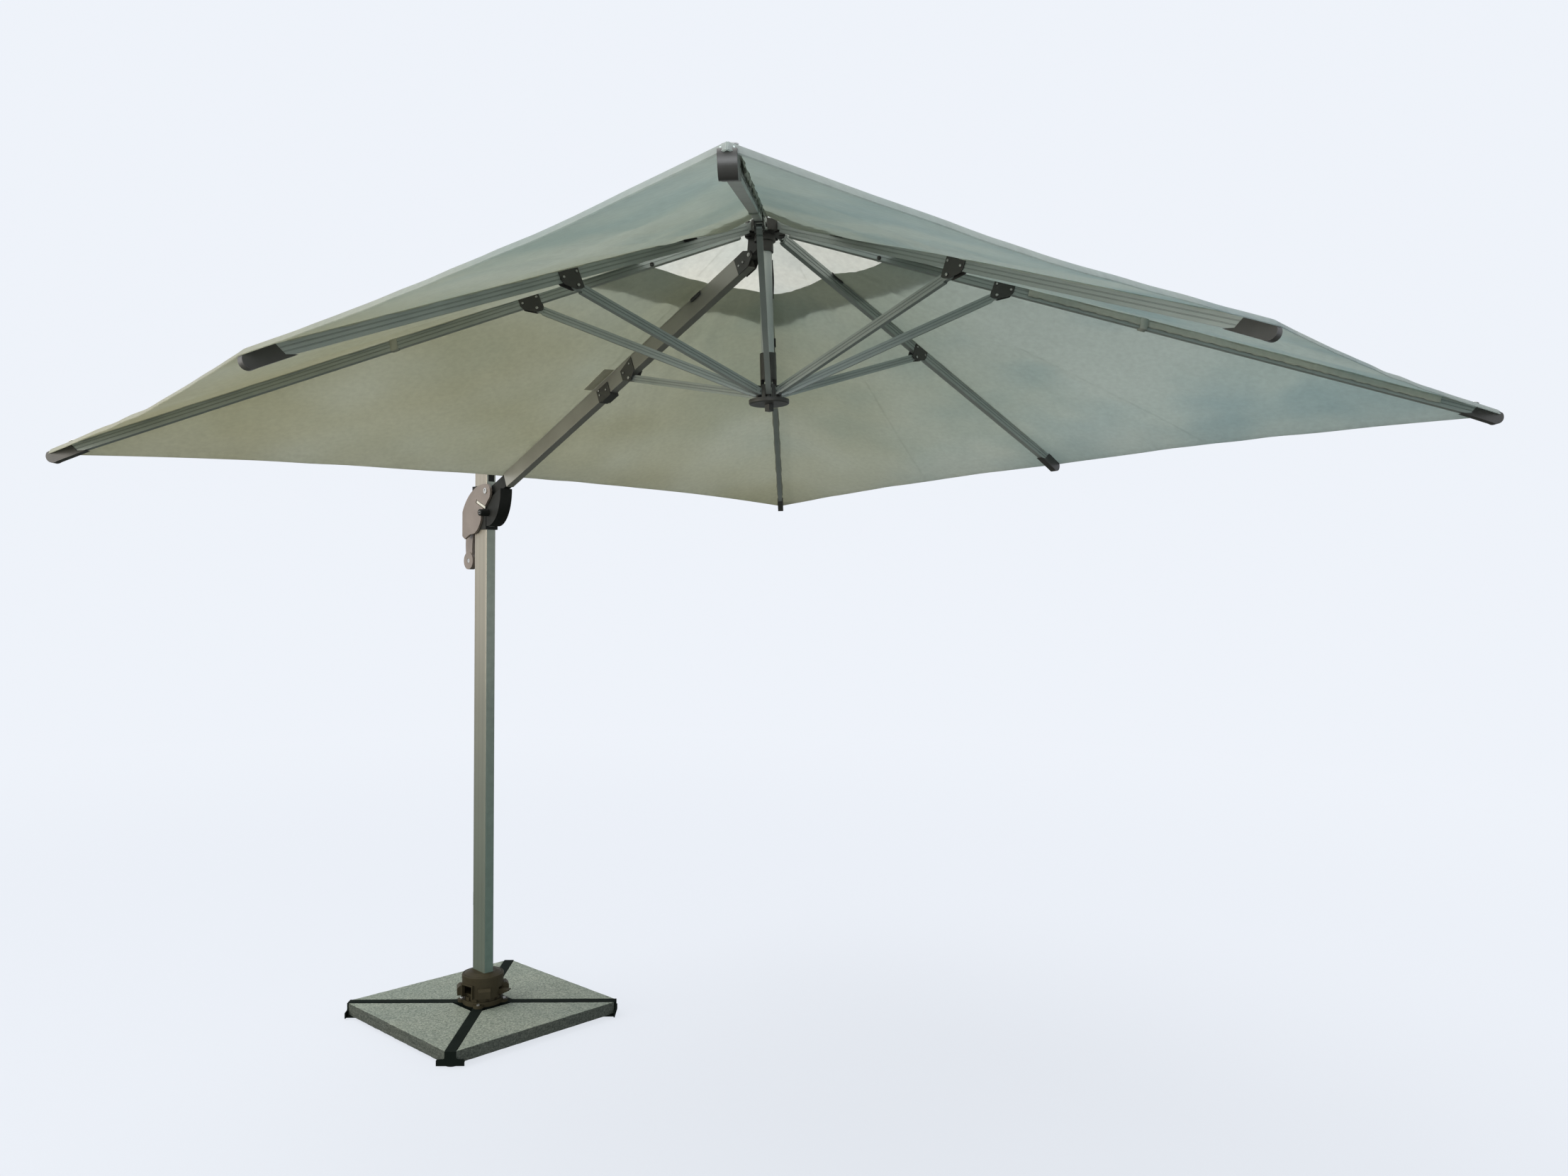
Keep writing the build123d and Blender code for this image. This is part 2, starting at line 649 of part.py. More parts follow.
def hub_ring():
    hub = disc(HUB_R, HUB_LOW, HUB_HIGH)
    for azimuth in RIBS.values():
        slot = slab(PIN_AT - 13, HUB_R + 2, -TONGUE_Y / 2 - 0.25, TONGUE_Y / 2 + 0.25, -40, 40)
        hub -= Rot(0, 0, azimuth) * slot
    hub += disc(31, HUB_LOW - 18, HUB_LOW)
    hub += disc(24, HUB_LOW - 50, HUB_LOW - 18)
    tongue = side_plate(
        [
            (-20, HUB_LOW),
            (-HUB_R + 2, HUB_LOW),
            (-HUB_R - 5, BOOM_PIN_DOWN),
            (-BOOM_PIN_AT, BOOM_PIN_DOWN - 12),
            (-BOOM_PIN_AT + 12, BOOM_PIN_DOWN),
            (-20, HUB_LOW - 36),
        ],
        -14,
        14,
    )
    hub += tongue + bar_y(12, -BOOM_PIN_AT, BOOM_PIN_DOWN, -14, 14)
    hub += disc(10, HUB_HIGH, COWL_APEX + 8) + disc(30, COWL_APEX + 4, COWL_APEX + 12)
    hub -= disc(TUBE_R + 1.5, HUB_LOW - 51, HUB_LOW - 4)
    hub -= bar_y(4 + RUN_FIT, -BOOM_PIN_AT, BOOM_PIN_DOWN, -20, 20)
    for azimuth in RIBS.values():
        hub -= Rot(0, 0, azimuth) * bar_y(PIN_R, PIN_AT, PIN_UP, -13, 13)
    return on_hub(hub)


def hub_pins():
    pin = bar_y(PIN_R, PIN_AT, PIN_UP, -12.5, 12.5)
    return on_hub(Compound(children=[Rot(0, 0, azimuth) * pin for azimuth in RIBS.values()]))


# ================================================================ ribs
def rib_kind(name):
    """Slope, length and strut bolt (along the rib, above the pin line) of one rib."""
    if name == "nw":
        return CORNER_SLOPE, CORNER_LENGTH, DRIVE_BOLT
    if RIBS[name] % 90:
        return CORNER_SLOPE, CORNER_LENGTH, CORNER_BOLT
    return MID_SLOPE, MID_LENGTH, MID_BOLT


def on_rib(shape, name):
    """From the rib's own frame (pin at the origin, +X along the rib) to its place on the hub."""
    slope = rib_kind(name)[0]
    return on_hub(Pos(PIN_AT, 0, PIN_UP) * (Rot(0, slope, 0) * shape), RIBS[name])


def rib_tube(name):
    length = rib_kind(name)[1]
    tube = Pos(RIB_START, 0, -PIN_UP) * grooved_tube(length - RIB_START, RIB_Y, RIB_TALL, RIB_WALL)
    in_y = RIB_Y / 2 - RIB_WALL
    plug = slab(RIB_START - 4, RIB_START + 30, -in_y, in_y, -PIN_UP - 13.6, -PIN_UP + 13.6)
    plug += slab(0, RIB_START, -TONGUE_Y / 2, TONGUE_Y / 2, -13, 7)
    plug += bar_y(9, 0, 0, -TONGUE_Y / 2, TONGUE_Y / 2)
    rib = tube + plug
    rib -= bar_y(PIN_R + RUN_FIT, 0, 0, -10, 10)
    return on_rib(rib, name)


def rib_cap(name):
    """Tapered plastic end cap with a rounded tip and a pointed lower tail."""
    length = rib_kind(name)[1]
    half = RIB_TALL / 2
    tail = length - CAP_LENGTH + 14
    edge = [
        Polyline((length + 6, -12, half - 3), (tail + 40, -12, half + 2.2), (tail + 26, -12, -half + 4),
                 (tail, -12, -half - 3), (length - 14, -12, -half - 8)),
        ThreePointArc((length - 14, -12, -half - 8), (length + 12, -12, -half + 5),
                      (length + 6, -12, half - 3)),
    ]
    cap = extrude(make_face(edge), amount=24, dir=(0, 1, 0))
    cap -= slab(tail - 1, length, -RIB_Y / 2, RIB_Y / 2, -half, half)
    return on_rib(Pos(0, 0, -PIN_UP) * cap, name)


def rib_bracket(name):
    """U-shaped bracket: two side plates under the rib, joined above the strut."""
    along, up = rib_kind(name)[2]
    rib_top = -PIN_UP + RIB_TALL / 2
    y0 = RIB_Y / 2
    outline = [
        (along - 18, up - 8),
        (along - 10, up - 11),
        (along + 8, up - 9),
        (along + 40, -PIN_UP - RIB_TALL / 2 - 4),
        (along + 46, -PIN_UP - 8),
        (along + 46, rib_top - 1),
        (along - 16, rib_top - 1),
    ]
    plate = side_plate(outline, y0, y0 + PLATE)
    for at, level in ((-8, 4), (36, -2)):
        plate += bar_y(3.6, along + at, -PIN_UP + level, y0 + PLATE, y0 + PLATE + 1.4)
    plate += bar_y(5, along, up, y0 + PLATE, y0 + PLATE + 2)
    plates = plate + mirror(plate, about=Plane.XZ)
    low = -PIN_UP - RIB_TALL / 2
    plates += slab(along + 20, along + 36, -y0, y0, low - 3, low)
    plates += bar_y(PIN_R, along, up, -y0 - 1, y0 + 1)
    return on_rib(plates, name)


# ================================================================ struts
def rib_bolt(name):
    """Strut bolt of a rib in the hub's radial plane, as (radius, height)."""
    if name == "w":
        x, z = boom_bolt_local()
        local = HUB_PLANE.to_local_coords(BOOM_PLANE.from_local_coords((x, 0, z)))
        return -local.X, local.Z
    slope, _, (along, up) = rib_kind(name)
    turn = radians(slope)
    return (
        PIN_AT + along * cos(turn) + up * sin(turn),
        PIN_UP - along * sin(turn) + up * cos(turn),
    )


def strut(name, azimuth):
    """Grooved strut with rounded end fittings, from the bracket bolt to the runner."""
    radius, height = rib_bolt(name)
    length = hypot(radius - FOOT_AT, height - FOOT_Z)
    rise = degrees(atan2(height - FOOT_Z, radius - FOOT_AT))
    body = Pos(14, 0, 0) * grooved_tube(length - 32, STRUT_Y, STRUT_TALL, RIB_WALL)
    in_y = STRUT_Y / 2 - RIB_WALL
    in_z = STRUT_TALL / 2 - RIB_WALL
    body += slab(9, 40, -in_y, in_y, -in_z, in_z)
    body += slab(length - 44, length - 16, -in_y, in_y, -in_z, in_z)
    body += slab(0, 15, -STRUT_Y / 2, STRUT_Y / 2, -STRUT_END_R, STRUT_END_R)
    body += slab(length - 19, length, -STRUT_Y / 2, STRUT_Y / 2, -9, 9)
    body += bar_y(STRUT_END_R, 0, 0, -STRUT_Y / 2, STRUT_Y / 2)
    body += bar_y(9, length, 0, -STRUT_Y / 2, STRUT_Y / 2)
    body -= bar_y(2.5 + RUN_FIT, 0, 0, -10, 10)
    body -= bar_y(PIN_R + RUN_FIT, length, 0, -10, 10)
    return on_hub(Pos(FOOT_AT, 0, FOOT_Z) * (Rot(0, -rise, 0) * body), azimuth)


# ================================================================ runner
def runner_body():
    """Lower hub: rimmed flange, slotted body for eight strut feet, sleeve and key.

    The slots on the four sides are taller, since the steeper-folding struts there swing further in.
    """
    floor = FOOT_Z - 20
    body = disc(RUNNER_R, floor - 2, FOOT_Z + 20)
    body += disc(SLEEVE_R, FOOT_Z + 20, FOOT_Z + 116)
    for i in range(8):
        slot_top = FOOT_Z + (21 if i % 2 else TALL_SLOT)
        slot = slab(6.5, 70, -FOOT_SLOT_Y / 2, FOOT_SLOT_Y / 2, FOOT_Z - 19, slot_top)
        body -= Rot(0, 0, 45 * i) * slot
    body += disc(6.5, floor - 2, FOOT_Z + TALL_SLOT + 1)
    flange = disc(RUNNER_FLANGE_R, floor - 14, floor - 1)
    flange = fillet(flange.faces().sort_by(Axis.Z)[0].edges(), 5)
    body += flange
    body += slab(-9, 9, -9, 9, floor - 34, floor - 13)
    body -= disc(TUBE_R, FOOT_Z + TUBE_SEAT, FOOT_Z + 120)
    lug = slab(FOOT_AT - 12, FOOT_AT + 7, STRUT_Y / 2 + 0.5, STRUT_Y / 2 + 4.5, floor - 2, FOOT_Z + 7)
    for side in (lug, mirror(lug, about=Plane.XZ)):
        body += Rot(0, 0, RIBS["nw"]) * side
    body += Rot(0, 0, RIBS["nw"]) * bar_y(2.5, FOOT_AT, FOOT_Z, -12, 12)
    return on_hub(body)


def runner_tube():
    outer = disc(TUBE_R, FOOT_Z + TUBE_SEAT, HUB_LOW - 6)
    return on_hub(outer - disc(TUBE_R - 2, FOOT_Z + TUBE_SEAT - 1, HUB_LOW - 5))


# ================================================================ canopy
def cloth_panel(apex, corner_in, corner_out, mid_in, mid_out, sag):
    """One flat half-gore between a corner rib line and a mid rib line, CLOTH thick."""
    bow = (corner_out + mid_out) * 0.5
    pull = (apex - bow).normalized() * sag
    edges = [
        Line(corner_in, corner_out),
        ThreePointArc(corner_out, bow + pull, mid_out) if sag else Line(corner_out, mid_out),
        Line(mid_out, mid_in),
        Line(mid_in, corner_in),
    ]
    return extrude(make_face(edges), amount=CLOTH, dir=(0, 0, 1))


def eight_panels(inner, corner_tip, mid_tip, apex_z, sag):
    """The whole pyramid of cloth, from the half-size of its opening to its rim."""
    corner_in_z = apex_z + (corner_tip[1] - apex_z) * inner / corner_tip[0]
    mid_in_z = apex_z + (mid_tip[1] - apex_z) * inner / mid_tip[0]
    cloth = None
    for quarter in range(4):
        for side in (-1, 1):
            panel = cloth_panel(
                Vector(0, 0, apex_z),
                Vector(inner, side * inner, corner_in_z),
                Vector(corner_tip[0], side * corner_tip[0], corner_tip[1]),
                Vector(inner, 0, mid_in_z),
                Vector(mid_tip[0], 0, mid_tip[1]),
                sag,
            )
            panel = Rot(0, 0, 90 * quarter) * panel
            cloth = panel if cloth is None else cloth + panel
    return cloth


def canopy_cloth():
    return on_hub(eight_panels(VENT, CORNER_TIP, MID_TIP, APEX_Z, EDGE_SAG))


def vent_cowl():
    return on_hub(eight_panels(24, (COWL, COWL_CORNER_Z), (COWL, COWL_MID_Z), COWL_APEX, 0))


# ================================================================ files
def nodes():
    made = {
        "base_stones": base_stones(),
        "base_cross": base_cross(),
        "base_feet": base_feet(),
        "base_flange": base_flange(),
        "base_bolts": base_bolts(),
        "turntable_ring": turntable_ring(),
        "turntable_drum": turntable_drum(),
        "turntable_lid": turntable_lid(),
        "mast_tube": mast_tube(),
        "mast_cap": mast_cap(),
        "mast_fittings": mast_fittings(),
        "foot_pedal": foot_pedal(),
        "carriage_core": carriage_core(),
        "carriage_cheeks": carriage_cheeks(),
        "carriage_pins": carriage_pins(),
        "carriage_bar": carriage_bar(),
        "grip_lever": grip_lever(),
        "lever_screw": lever_screw(),
        "boom_root": boom_root(),
        "boom_tube": boom_tube(),
        "boom_end": boom_end(),
        "boom_pin": boom_pin(),
        "boom_bracket": boom_bracket(),
        "boom_sleeve": boom_sleeve(),
        "crank_socket": crank_socket(),
        "hub_ring": hub_ring(),
        "hub_pins": hub_pins(),
        "runner_body": runner_body(),
        "runner_tube": runner_tube(),
        "canopy_cloth": canopy_cloth(),
        "vent_cowl": vent_cowl(),
    }
    for name, azimuth in RIBS.items():
        made["rib_" + name] = rib_tube(name)
        made["rib_cap_" + name] = rib_cap(name)
        made["rib_bracket_" + name] = rib_bracket(name)
        made["strut_" + name] = strut(name, azimuth)
    made["strut_w"] = strut("w", 180)
    return made


def main():
    os.makedirs("parts", exist_ok=True)
    for name, shape in nodes().items():
        export_step(shape, os.path.join("parts", name + ".step"))


main()
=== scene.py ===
import json
import math

import bmesh
import bpy
import numpy as np
from mathutils import Matrix, Vector, noise

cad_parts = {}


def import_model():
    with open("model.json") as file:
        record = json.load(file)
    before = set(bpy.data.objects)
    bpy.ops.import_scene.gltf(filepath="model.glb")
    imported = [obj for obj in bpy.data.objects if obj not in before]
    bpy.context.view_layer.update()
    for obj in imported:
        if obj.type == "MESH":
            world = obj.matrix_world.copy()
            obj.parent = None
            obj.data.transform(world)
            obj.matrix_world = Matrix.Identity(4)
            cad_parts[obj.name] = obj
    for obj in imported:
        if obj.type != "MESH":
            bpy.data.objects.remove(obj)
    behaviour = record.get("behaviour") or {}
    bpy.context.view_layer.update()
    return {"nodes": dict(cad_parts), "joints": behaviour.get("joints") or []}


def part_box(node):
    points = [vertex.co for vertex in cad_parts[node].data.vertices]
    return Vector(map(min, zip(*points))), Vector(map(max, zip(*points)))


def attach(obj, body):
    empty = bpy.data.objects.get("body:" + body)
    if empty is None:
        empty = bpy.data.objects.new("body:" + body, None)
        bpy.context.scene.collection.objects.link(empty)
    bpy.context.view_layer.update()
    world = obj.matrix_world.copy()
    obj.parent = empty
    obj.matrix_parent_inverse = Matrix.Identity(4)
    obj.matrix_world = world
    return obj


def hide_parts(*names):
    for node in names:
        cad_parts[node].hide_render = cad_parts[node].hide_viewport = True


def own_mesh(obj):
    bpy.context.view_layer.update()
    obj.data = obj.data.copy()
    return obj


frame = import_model()
JOINTS = {j["name"]: j for j in frame["joints"]}
NODES = frame["nodes"]

# ------------------------------------------------------------------ camera
CAMERA_AT = (4.168, -2.4511, 1.6663)
CAMERA_YAW = 135.67
CAMERA_PITCH = -0.06
CAMERA_ROLL = 0.30
LENS_MM = 27.81
SENSOR_MM = 36

# ------------------------------------------------------------------ canopy, metres, in the hub's frame
PIN_UP = 0.006
HALF = 1.511
APEX_Z = 0.036
CORNER_Z = -0.593
MID_Z = -0.567
VENT = 0.280
RIM_SAG = 0.038
WEST_SAG = 0.046
HEM = 0.026
STEP = 0.0012
LIP = 0.014
CLOTH = 0.0011
COWL_HALF = 0.420
COWL_CROWN = 0.064
COWL_APEX_Z = 0.079
COWL_CORNER_Z = -0.118
COWL_MID_Z = -0.113
HEM_SWELL = 0.0005
HEM_DROP = 0.0009
INNER_ROWS = 2
OUTER_ROWS = 6
GORE_SPLIT = 22.5
STEPS = 64
ROWS = 40

SIDES = {"e": 0, "n": 90, "w": 180, "s": 270}
CORNERS = {"ne": 45, "nw": 135, "sw": 225, "se": 315}
MIDS = {"e": 0, "n": 90, "s": 270}
CORNER_SLOPE = 16.4
MID_SLOPE = 22.0
PIN_AT = 0.054
RIB_Y = 0.018
RIB_TALL = 0.030
CORNER_LENGTH = 2.155
MID_LENGTH = 1.560
BOOM_RISE = 23.5

# ------------------------------------------------------------------ fittings, metres
LOOP_AT = 1.09
LOOP_WIDTH = 0.022
LOOP_THICK = 0.0016
OVER_GATHERS = 0.0058
TAB_AT = 0.262
TAB_THICK = 0.0014
BOOM_TAB_AT = 1.330
BOLT_AT = 0.296
PLATE_THICK = 0.0025
NW_STRUT_PIN = (0.6643, -0.0578)
CORNER_STRUT_PIN = (0.657, -0.034)
MID_STRUT_PIN = (0.683, -0.036)
BOOM_HALF_Y = 0.015
BOOM_BRACKET_BACK = 0.6525
BOOM_SLEEVE_AT = 0.790
FLAP_FROM, FLAP_TO, FLAP_HALF = 0.735, 0.865, 0.050
TUBE_R = 0.019
TUBE_FITTINGS_TURN = 70

# ------------------------------------------------------------------ mast and base, metres
MAST_FRONT = 0.0437
BASE_TURN = math.radians(2.3)
STONE_HALF = 0.375
STONE_TIP = 0.092
STRAP_HALF = 0.0195
STONE_GAP = 0.0006
ARRIS = 0.0022


def unit(v):
    return Vector(v).normalized()


HUB_X = -unit(JOINTS["rib_fold_n"]["axis"])
HUB_Y = unit(JOINTS["rib_fold_e"]["axis"])
HUB_Z = HUB_X.cross(HUB_Y)
HUB_O = (Vector(JOINTS["rib_fold_n"]["pos_m"]) + Vector(JOINTS["rib_fold_s"]["pos_m"])) / 2 - PIN_UP * HUB_Z
HUB = Matrix((HUB_X, HUB_Y, HUB_Z)).transposed().to_4x4()
HUB.translation = HUB_O


def turned(azimuth):
    """Hub frame turned so that +X points along a rib."""
    return HUB @ Matrix.Rotation(math.radians(azimuth), 4, "Z")


def rib_frame(name):
    """Frame of a rib: origin at its pin, +X along it, +Z up out of it."""
    azimuth = {**CORNERS, **MIDS}[name]
    slope = CORNER_SLOPE if name in CORNERS else MID_SLOPE
    place = Matrix.Translation((PIN_AT, 0, PIN_UP)) @ Matrix.Rotation(math.radians(slope), 4, "Y")
    return turned(azimuth) @ place


def boom_frame():
    """Frame of the boom: origin at the tilt pin, +X along it."""
    at = Vector(JOINTS["boom_lift"]["pos_m"])
    return Matrix.Translation(at) @ Matrix.Rotation(math.radians(-BOOM_RISE), 4, "Y")


# ------------------------------------------------------------------ small mesh tools
def link(name, data):
    obj = bpy.data.objects.new(name, data)
    bpy.context.scene.collection.objects.link(obj)
    return obj


def weld(obj, distance=1e-7):
    """Joins points that coincide and turns all faces outwards."""
    bm = bmesh.new()
    bm.from_mesh(obj.data)
    bmesh.ops.remove_doubles(bm, verts=bm.verts, dist=distance)
    bmesh.ops.recalc_face_normals(bm, faces=bm.faces)
    bm.to_mesh(obj.data)
    bm.free()


def mesh_from(name, verts, faces, smooth=True):
    mesh = bpy.data.meshes.new(name)
    mesh.from_pydata([tuple(v) for v in verts], [], faces)
    mesh.polygons.foreach_set("use_smooth", [smooth] * len(mesh.polygons))
    mesh.update()
    return link(name, mesh)


def paint(obj, *materials):
    obj.data.materials.clear()
    for material in materials:
        obj.data.materials.append(material)


def place(obj, matrix):
    """Bakes a place into the mesh, so that the object stays at the origin."""
    obj.data.transform(matrix)
    obj.data.update()
    return obj


def add_modifier(obj, kind, **values):
    modifier = obj.modifiers.new(kind.lower(), kind)
    for key, value in values.items():
        setattr(modifier, key, value)
    return modifier


def rounded_block(name, size, radius, segments=3):
    """Box with rounded edges, centred on the origin."""
    bm = bmesh.new()
    bmesh.ops.create_cube(bm, size=1)
    bmesh.ops.scale(bm, vec=size, verts=bm.verts)
    bmesh.ops.bevel(bm, geom=bm.edges[:], offset=radius, segments=segments, profile=0.5, affect="EDGES")
    mesh = bpy.data.meshes.new(name)
    bm.to_mesh(mesh)
    bm.free()
    mesh.polygons.foreach_set("use_smooth", [True] * len(mesh.polygons))
    return link(name, mesh)


def lathe(name, profile, segments):
    """Turned solid about +Z from (radius, height) points."""
    verts = []
    faces = []
    for i in range(segments):
        turn = 2 * math.pi * i / segments
        for radius, height in profile:
            verts.append((radius * math.cos(turn), radius * math.sin(turn), height))
    count = len(profile)
    for i in range(segments):
        for j in range(count - 1):
            a = i * count + j
            b = (i + 1) % segments * count + j
            faces.append((a, b, b + 1, a + 1))
    obj = mesh_from(name, verts, faces)
    weld(obj)
    return obj


def swept_band(name, path, width_dir, width, thick):
    """Flat strap along a path of points, with its width along width_dir."""
    verts = []
    faces = []
    for i, point in enumerate(path):
        before = path[max(i - 1, 0)]
        after = path[min(i + 1, len(path) - 1)]
        along = (after - before).normalized()
        up = along.cross(width_dir).normalized()
        for a, u in ((-1, -1), (1, -1), (1, 1), (-1, 1)):
            verts.append(point + width_dir * (a * width / 2) + up * (u * thick / 2))
    for i in range(len(path) - 1):
        for j in range(4):
            k = (j + 1) % 4
            faces.append((4 * i + j, 4 * i + k, 4 * i + 4 + k, 4 * i + 4 + j))
    last = 4 * (len(path) - 1)
    faces.append((3, 2, 1, 0))
    faces.append((last, last + 1, last + 2, last + 3))
    return mesh_from(name, verts, faces, False)


# ------------------------------------------------------------------ materials
def add_node(tree, kind, inputs=(), **values):
    """New node with its settings. An input is given as a value or as the socket that feeds it."""
    node = tree.nodes.new(kind)
    for key, value in values.items():
        setattr(node, key, value)
    for key, value in dict(inputs).items():
        if isinstance(value, bpy.types.NodeSocket):
            tree.links.new(value, node.inputs[key])
        else:
            node.inputs[key].default_value = value
    return node


class Nodes:
    """A material's node tree with short calls for what the surfaces here need."""

    def __init__(self, name):
        self.material = bpy.data.materials.new(name)
        self.material.use_nodes = True
        self.tree = self.material.node_tree
        self.shader = self.tree.nodes["Principled BSDF"]
        self.output = self.tree.nodes["Material Output"]
        self.coords = self.new("ShaderNodeTexCoord").outputs["Object"]

    def new(self, kind, inputs=(), **values):
        return add_node(self.tree, kind, inputs, **values)

    def noise(self, scale, detail=4, rough=0.55, stretch=(1, 1, 1)):
        at = self.new("ShaderNodeMapping", {"Scale": stretch, "Vector": self.coords}).outputs[0]
        inputs = {"Scale": scale, "Detail": detail, "Roughness": rough, "Vector": at}
        return self.new("ShaderNodeTexNoise", inputs).outputs["Fac"]

    def cells(self, scale):
        return self.new("ShaderNodeTexVoronoi", {"Scale": scale, "Vector": self.coords})

    def ramp(self, source, *stops):
        """Colour ramp from (place, colour) stops."""
        node = self.new("ShaderNodeValToRGB", {"Fac": source})
        ramp = node.color_ramp
        while len(ramp.elements) < len(stops):
            ramp.elements.new(0.5)
        for element, (at, colour) in zip(ramp.elements, stops):
            element.position = at
            element.color = (*colour, 1)
        return node.outputs["Color"]

    def mix(self, factor, a, b, blend="MIX"):
        a, b = ((*colour, 1) if isinstance(colour, tuple) else colour for colour in (a, b))
        inputs = {0: factor, 6: a, 7: b}
        return self.new("ShaderNodeMix", inputs, data_type="RGBA", blend_type=blend).outputs[2]

    def spread(self, source, low, high):
        return self.new("ShaderNodeMapRange", {"Value": source, "To Min": low, "To Max": high}).outputs[0]

    def bump(self, height, distance, strength=1.0, edge=0.0):
        """Fine relief from a height, and edges rounded by the radius edge."""
        inputs = {"Strength": strength, "Distance": distance, "Height": height}
        if edge:
            inputs["Normal"] = self.new("ShaderNodeBevel", {"Radius": edge}, samples=4).outputs[0]
        self.feed("Normal", self.new("ShaderNodeBump", inputs).outputs[0])

    def set(self, **values):
        for key, value in values.items():
            self.shader.inputs[key.replace("_", " ")].default_value = value

    def feed(self, socket, source):
        self.tree.links.new(source, self.shader.inputs[socket])

    def colour(self, source):
        self.feed("Base Color", source)

    def roughness(self, source):
        self.feed("Roughness", source)

    def blend_with(self, factor, other):
        """Shows another shader in place of part of the main one."""
        inputs = {0: factor, 1: self.shader.outputs[0], 2: other.outputs[0]}
        both = self.new("ShaderNodeMixShader", inputs)
        self.tree.links.new(both.outputs[0], self.output.inputs["Surface"])


def coated_metal(name, dark, light, rough=0.42, gloss=0.45):
    """Powder coat: fine pebbled grain, faint cloudy colour and rubbed, slightly lighter places."""
    n = Nodes(name)
    colour = n.ramp(n.noise(7, 3), (0.3, dark), (0.72, light))
    speck = n.noise(900, 2)
    n.colour(n.mix(n.spread(speck, 0.0, 0.35), colour, light))
    n.roughness(n.spread(n.noise(26, 3), rough - 0.07, rough + 0.1))
    n.bump(speck, 0.00012, 0.6, 0.0008)
    n.set(Metallic=0.0, Specular_IOR_Level=gloss)
    return n.material


def moulded_plastic(name, dark, light, rough, coat=0.0, gloss=0.5):
    """Injection moulding: fine matt grain, faint clouding and softly rounded edges."""
    n = Nodes(name)
    colour = n.ramp(n.noise(12, 4), (0.3, dark), (0.75, light))
    n.colour(colour)
    n.roughness(n.spread(n.noise(60, 3), rough - 0.08, rough + 0.1))
    n.bump(n.noise(1400, 3), 0.00010, 0.55, 0.0009)
    n.set(Specular_IOR_Level=gloss, Coat_Weight=coat, Coat_Roughness=0.3)
    return n.material


def rib_metal(name, dark, light):
    """Clear anodised extrusion: soft cloud, fine grain, and painted shade that darkens its grooves and
    crevices.
    """
    n = Nodes(name)
    colour = n.ramp(n.noise(5, 4), (0.28, dark), (0.75, light))
    fine = n.noise(420, 3)
    colour = n.mix(n.spread(fine, 0.0, 0.25), colour, light)
    # Painted shade: ambient occlusion darkens the colour in grooves and crevices.
    hollow = n.new("ShaderNodeAmbientOcclusion", {"Distance": 0.004}, samples=4, only_local=True)
    painted_groove_shade = n.ramp(hollow.outputs["AO"], (0.45, (0.20, 0.22, 0.21)), (0.9, (1, 1, 1)))
    n.colour(n.mix(1.0, colour, painted_groove_shade, "MULTIPLY"))
    n.roughness(n.spread(n.noise(38, 3), 0.3, 0.46))
    n.bump(fine, 0.00005, 0.5, 0.0005)
    n.set(Metallic=0.45)
    return n.material


def mast_metal():
    """Champagne anodising with drawn lines, painted shade that darkens it towards the foot, and painted shade
    that darkens its front face.
    """
    pale = (0.52, 0.48, 0.42)
    n = Nodes("mast_anodised")
    drawn = n.noise(9, 5, 0.7, (60, 60, 1))
    colour = n.ramp(n.noise(3.2, 3), (0.25, (0.42, 0.385, 0.335)), (0.8, pale))
    colour = n.mix(n.spread(drawn, 0.0, 0.5), colour, pale)
    n.roughness(n.spread(drawn, 0.32, 0.50))
    n.bump(drawn, 0.00006, 0.5, 0.0006)
    n.set(Metallic=0.35)
    split = n.new("ShaderNodeSeparateXYZ", {0: n.coords})
    inputs = {"Scale": 11.5, "Phase Offset": 1.1, "Vector": n.coords}
    ribs = n.new("ShaderNodeTexWave", inputs, bands_direction="X", wave_profile="SIN")
    lines = n.ramp(ribs.outputs["Fac"], (0.0, (0.90, 0.90, 0.89)), (0.35, (1, 1, 1)))
    striped = n.mix(1.0, colour, lines, "MULTIPLY")
    # Painted shade on the front face: its colour is multiplied by a darker grey-green.
    front = n.new("ShaderNodeMath", {0: split.outputs["X"], 1: MAST_FRONT}, operation="GREATER_THAN")
    painted_front_shade = n.ramp(n.noise(40, 4), (0.3, (0.50, 0.55, 0.50)), (0.7, (0.60, 0.65, 0.59)))
    # Painted shade that darkens the colour towards the foot.
    inputs = {"From Min": 0.1, "From Max": 2.1, "Value": split.outputs["Z"]}
    up = n.new("ShaderNodeMapRange", inputs, interpolation_type="SMOOTHSTEP")
    stops = ((0.0, (0.20, 0.27, 0.24)), (0.55, (0.31, 0.34, 0.31)), (1.0, (0.56, 0.56, 0.53)))
    painted_foot_shade = n.ramp(up.outputs[0], *stops)
    n.colour(n.mix(1.0, n.mix(front.outputs[0], striped, painted_front_shade), painted_foot_shade, "MULTIPLY"))
    return n.material


def bare_steel(name):
    """Zinc-plated steel, evenly speckled."""
    n = Nodes(name)
    n.colour(n.ramp(n.noise(500, 3), (0.3, (0.38, 0.38, 0.37)), (0.7, (0.66, 0.66, 0.64))))
    n.roughness(n.spread(n.noise(900, 2), 0.24, 0.42))
    n.bump(n.noise(1500, 2), 0.00004, 0.5, 0.0005)
    n.set(Metallic=1.0)
    return n.material


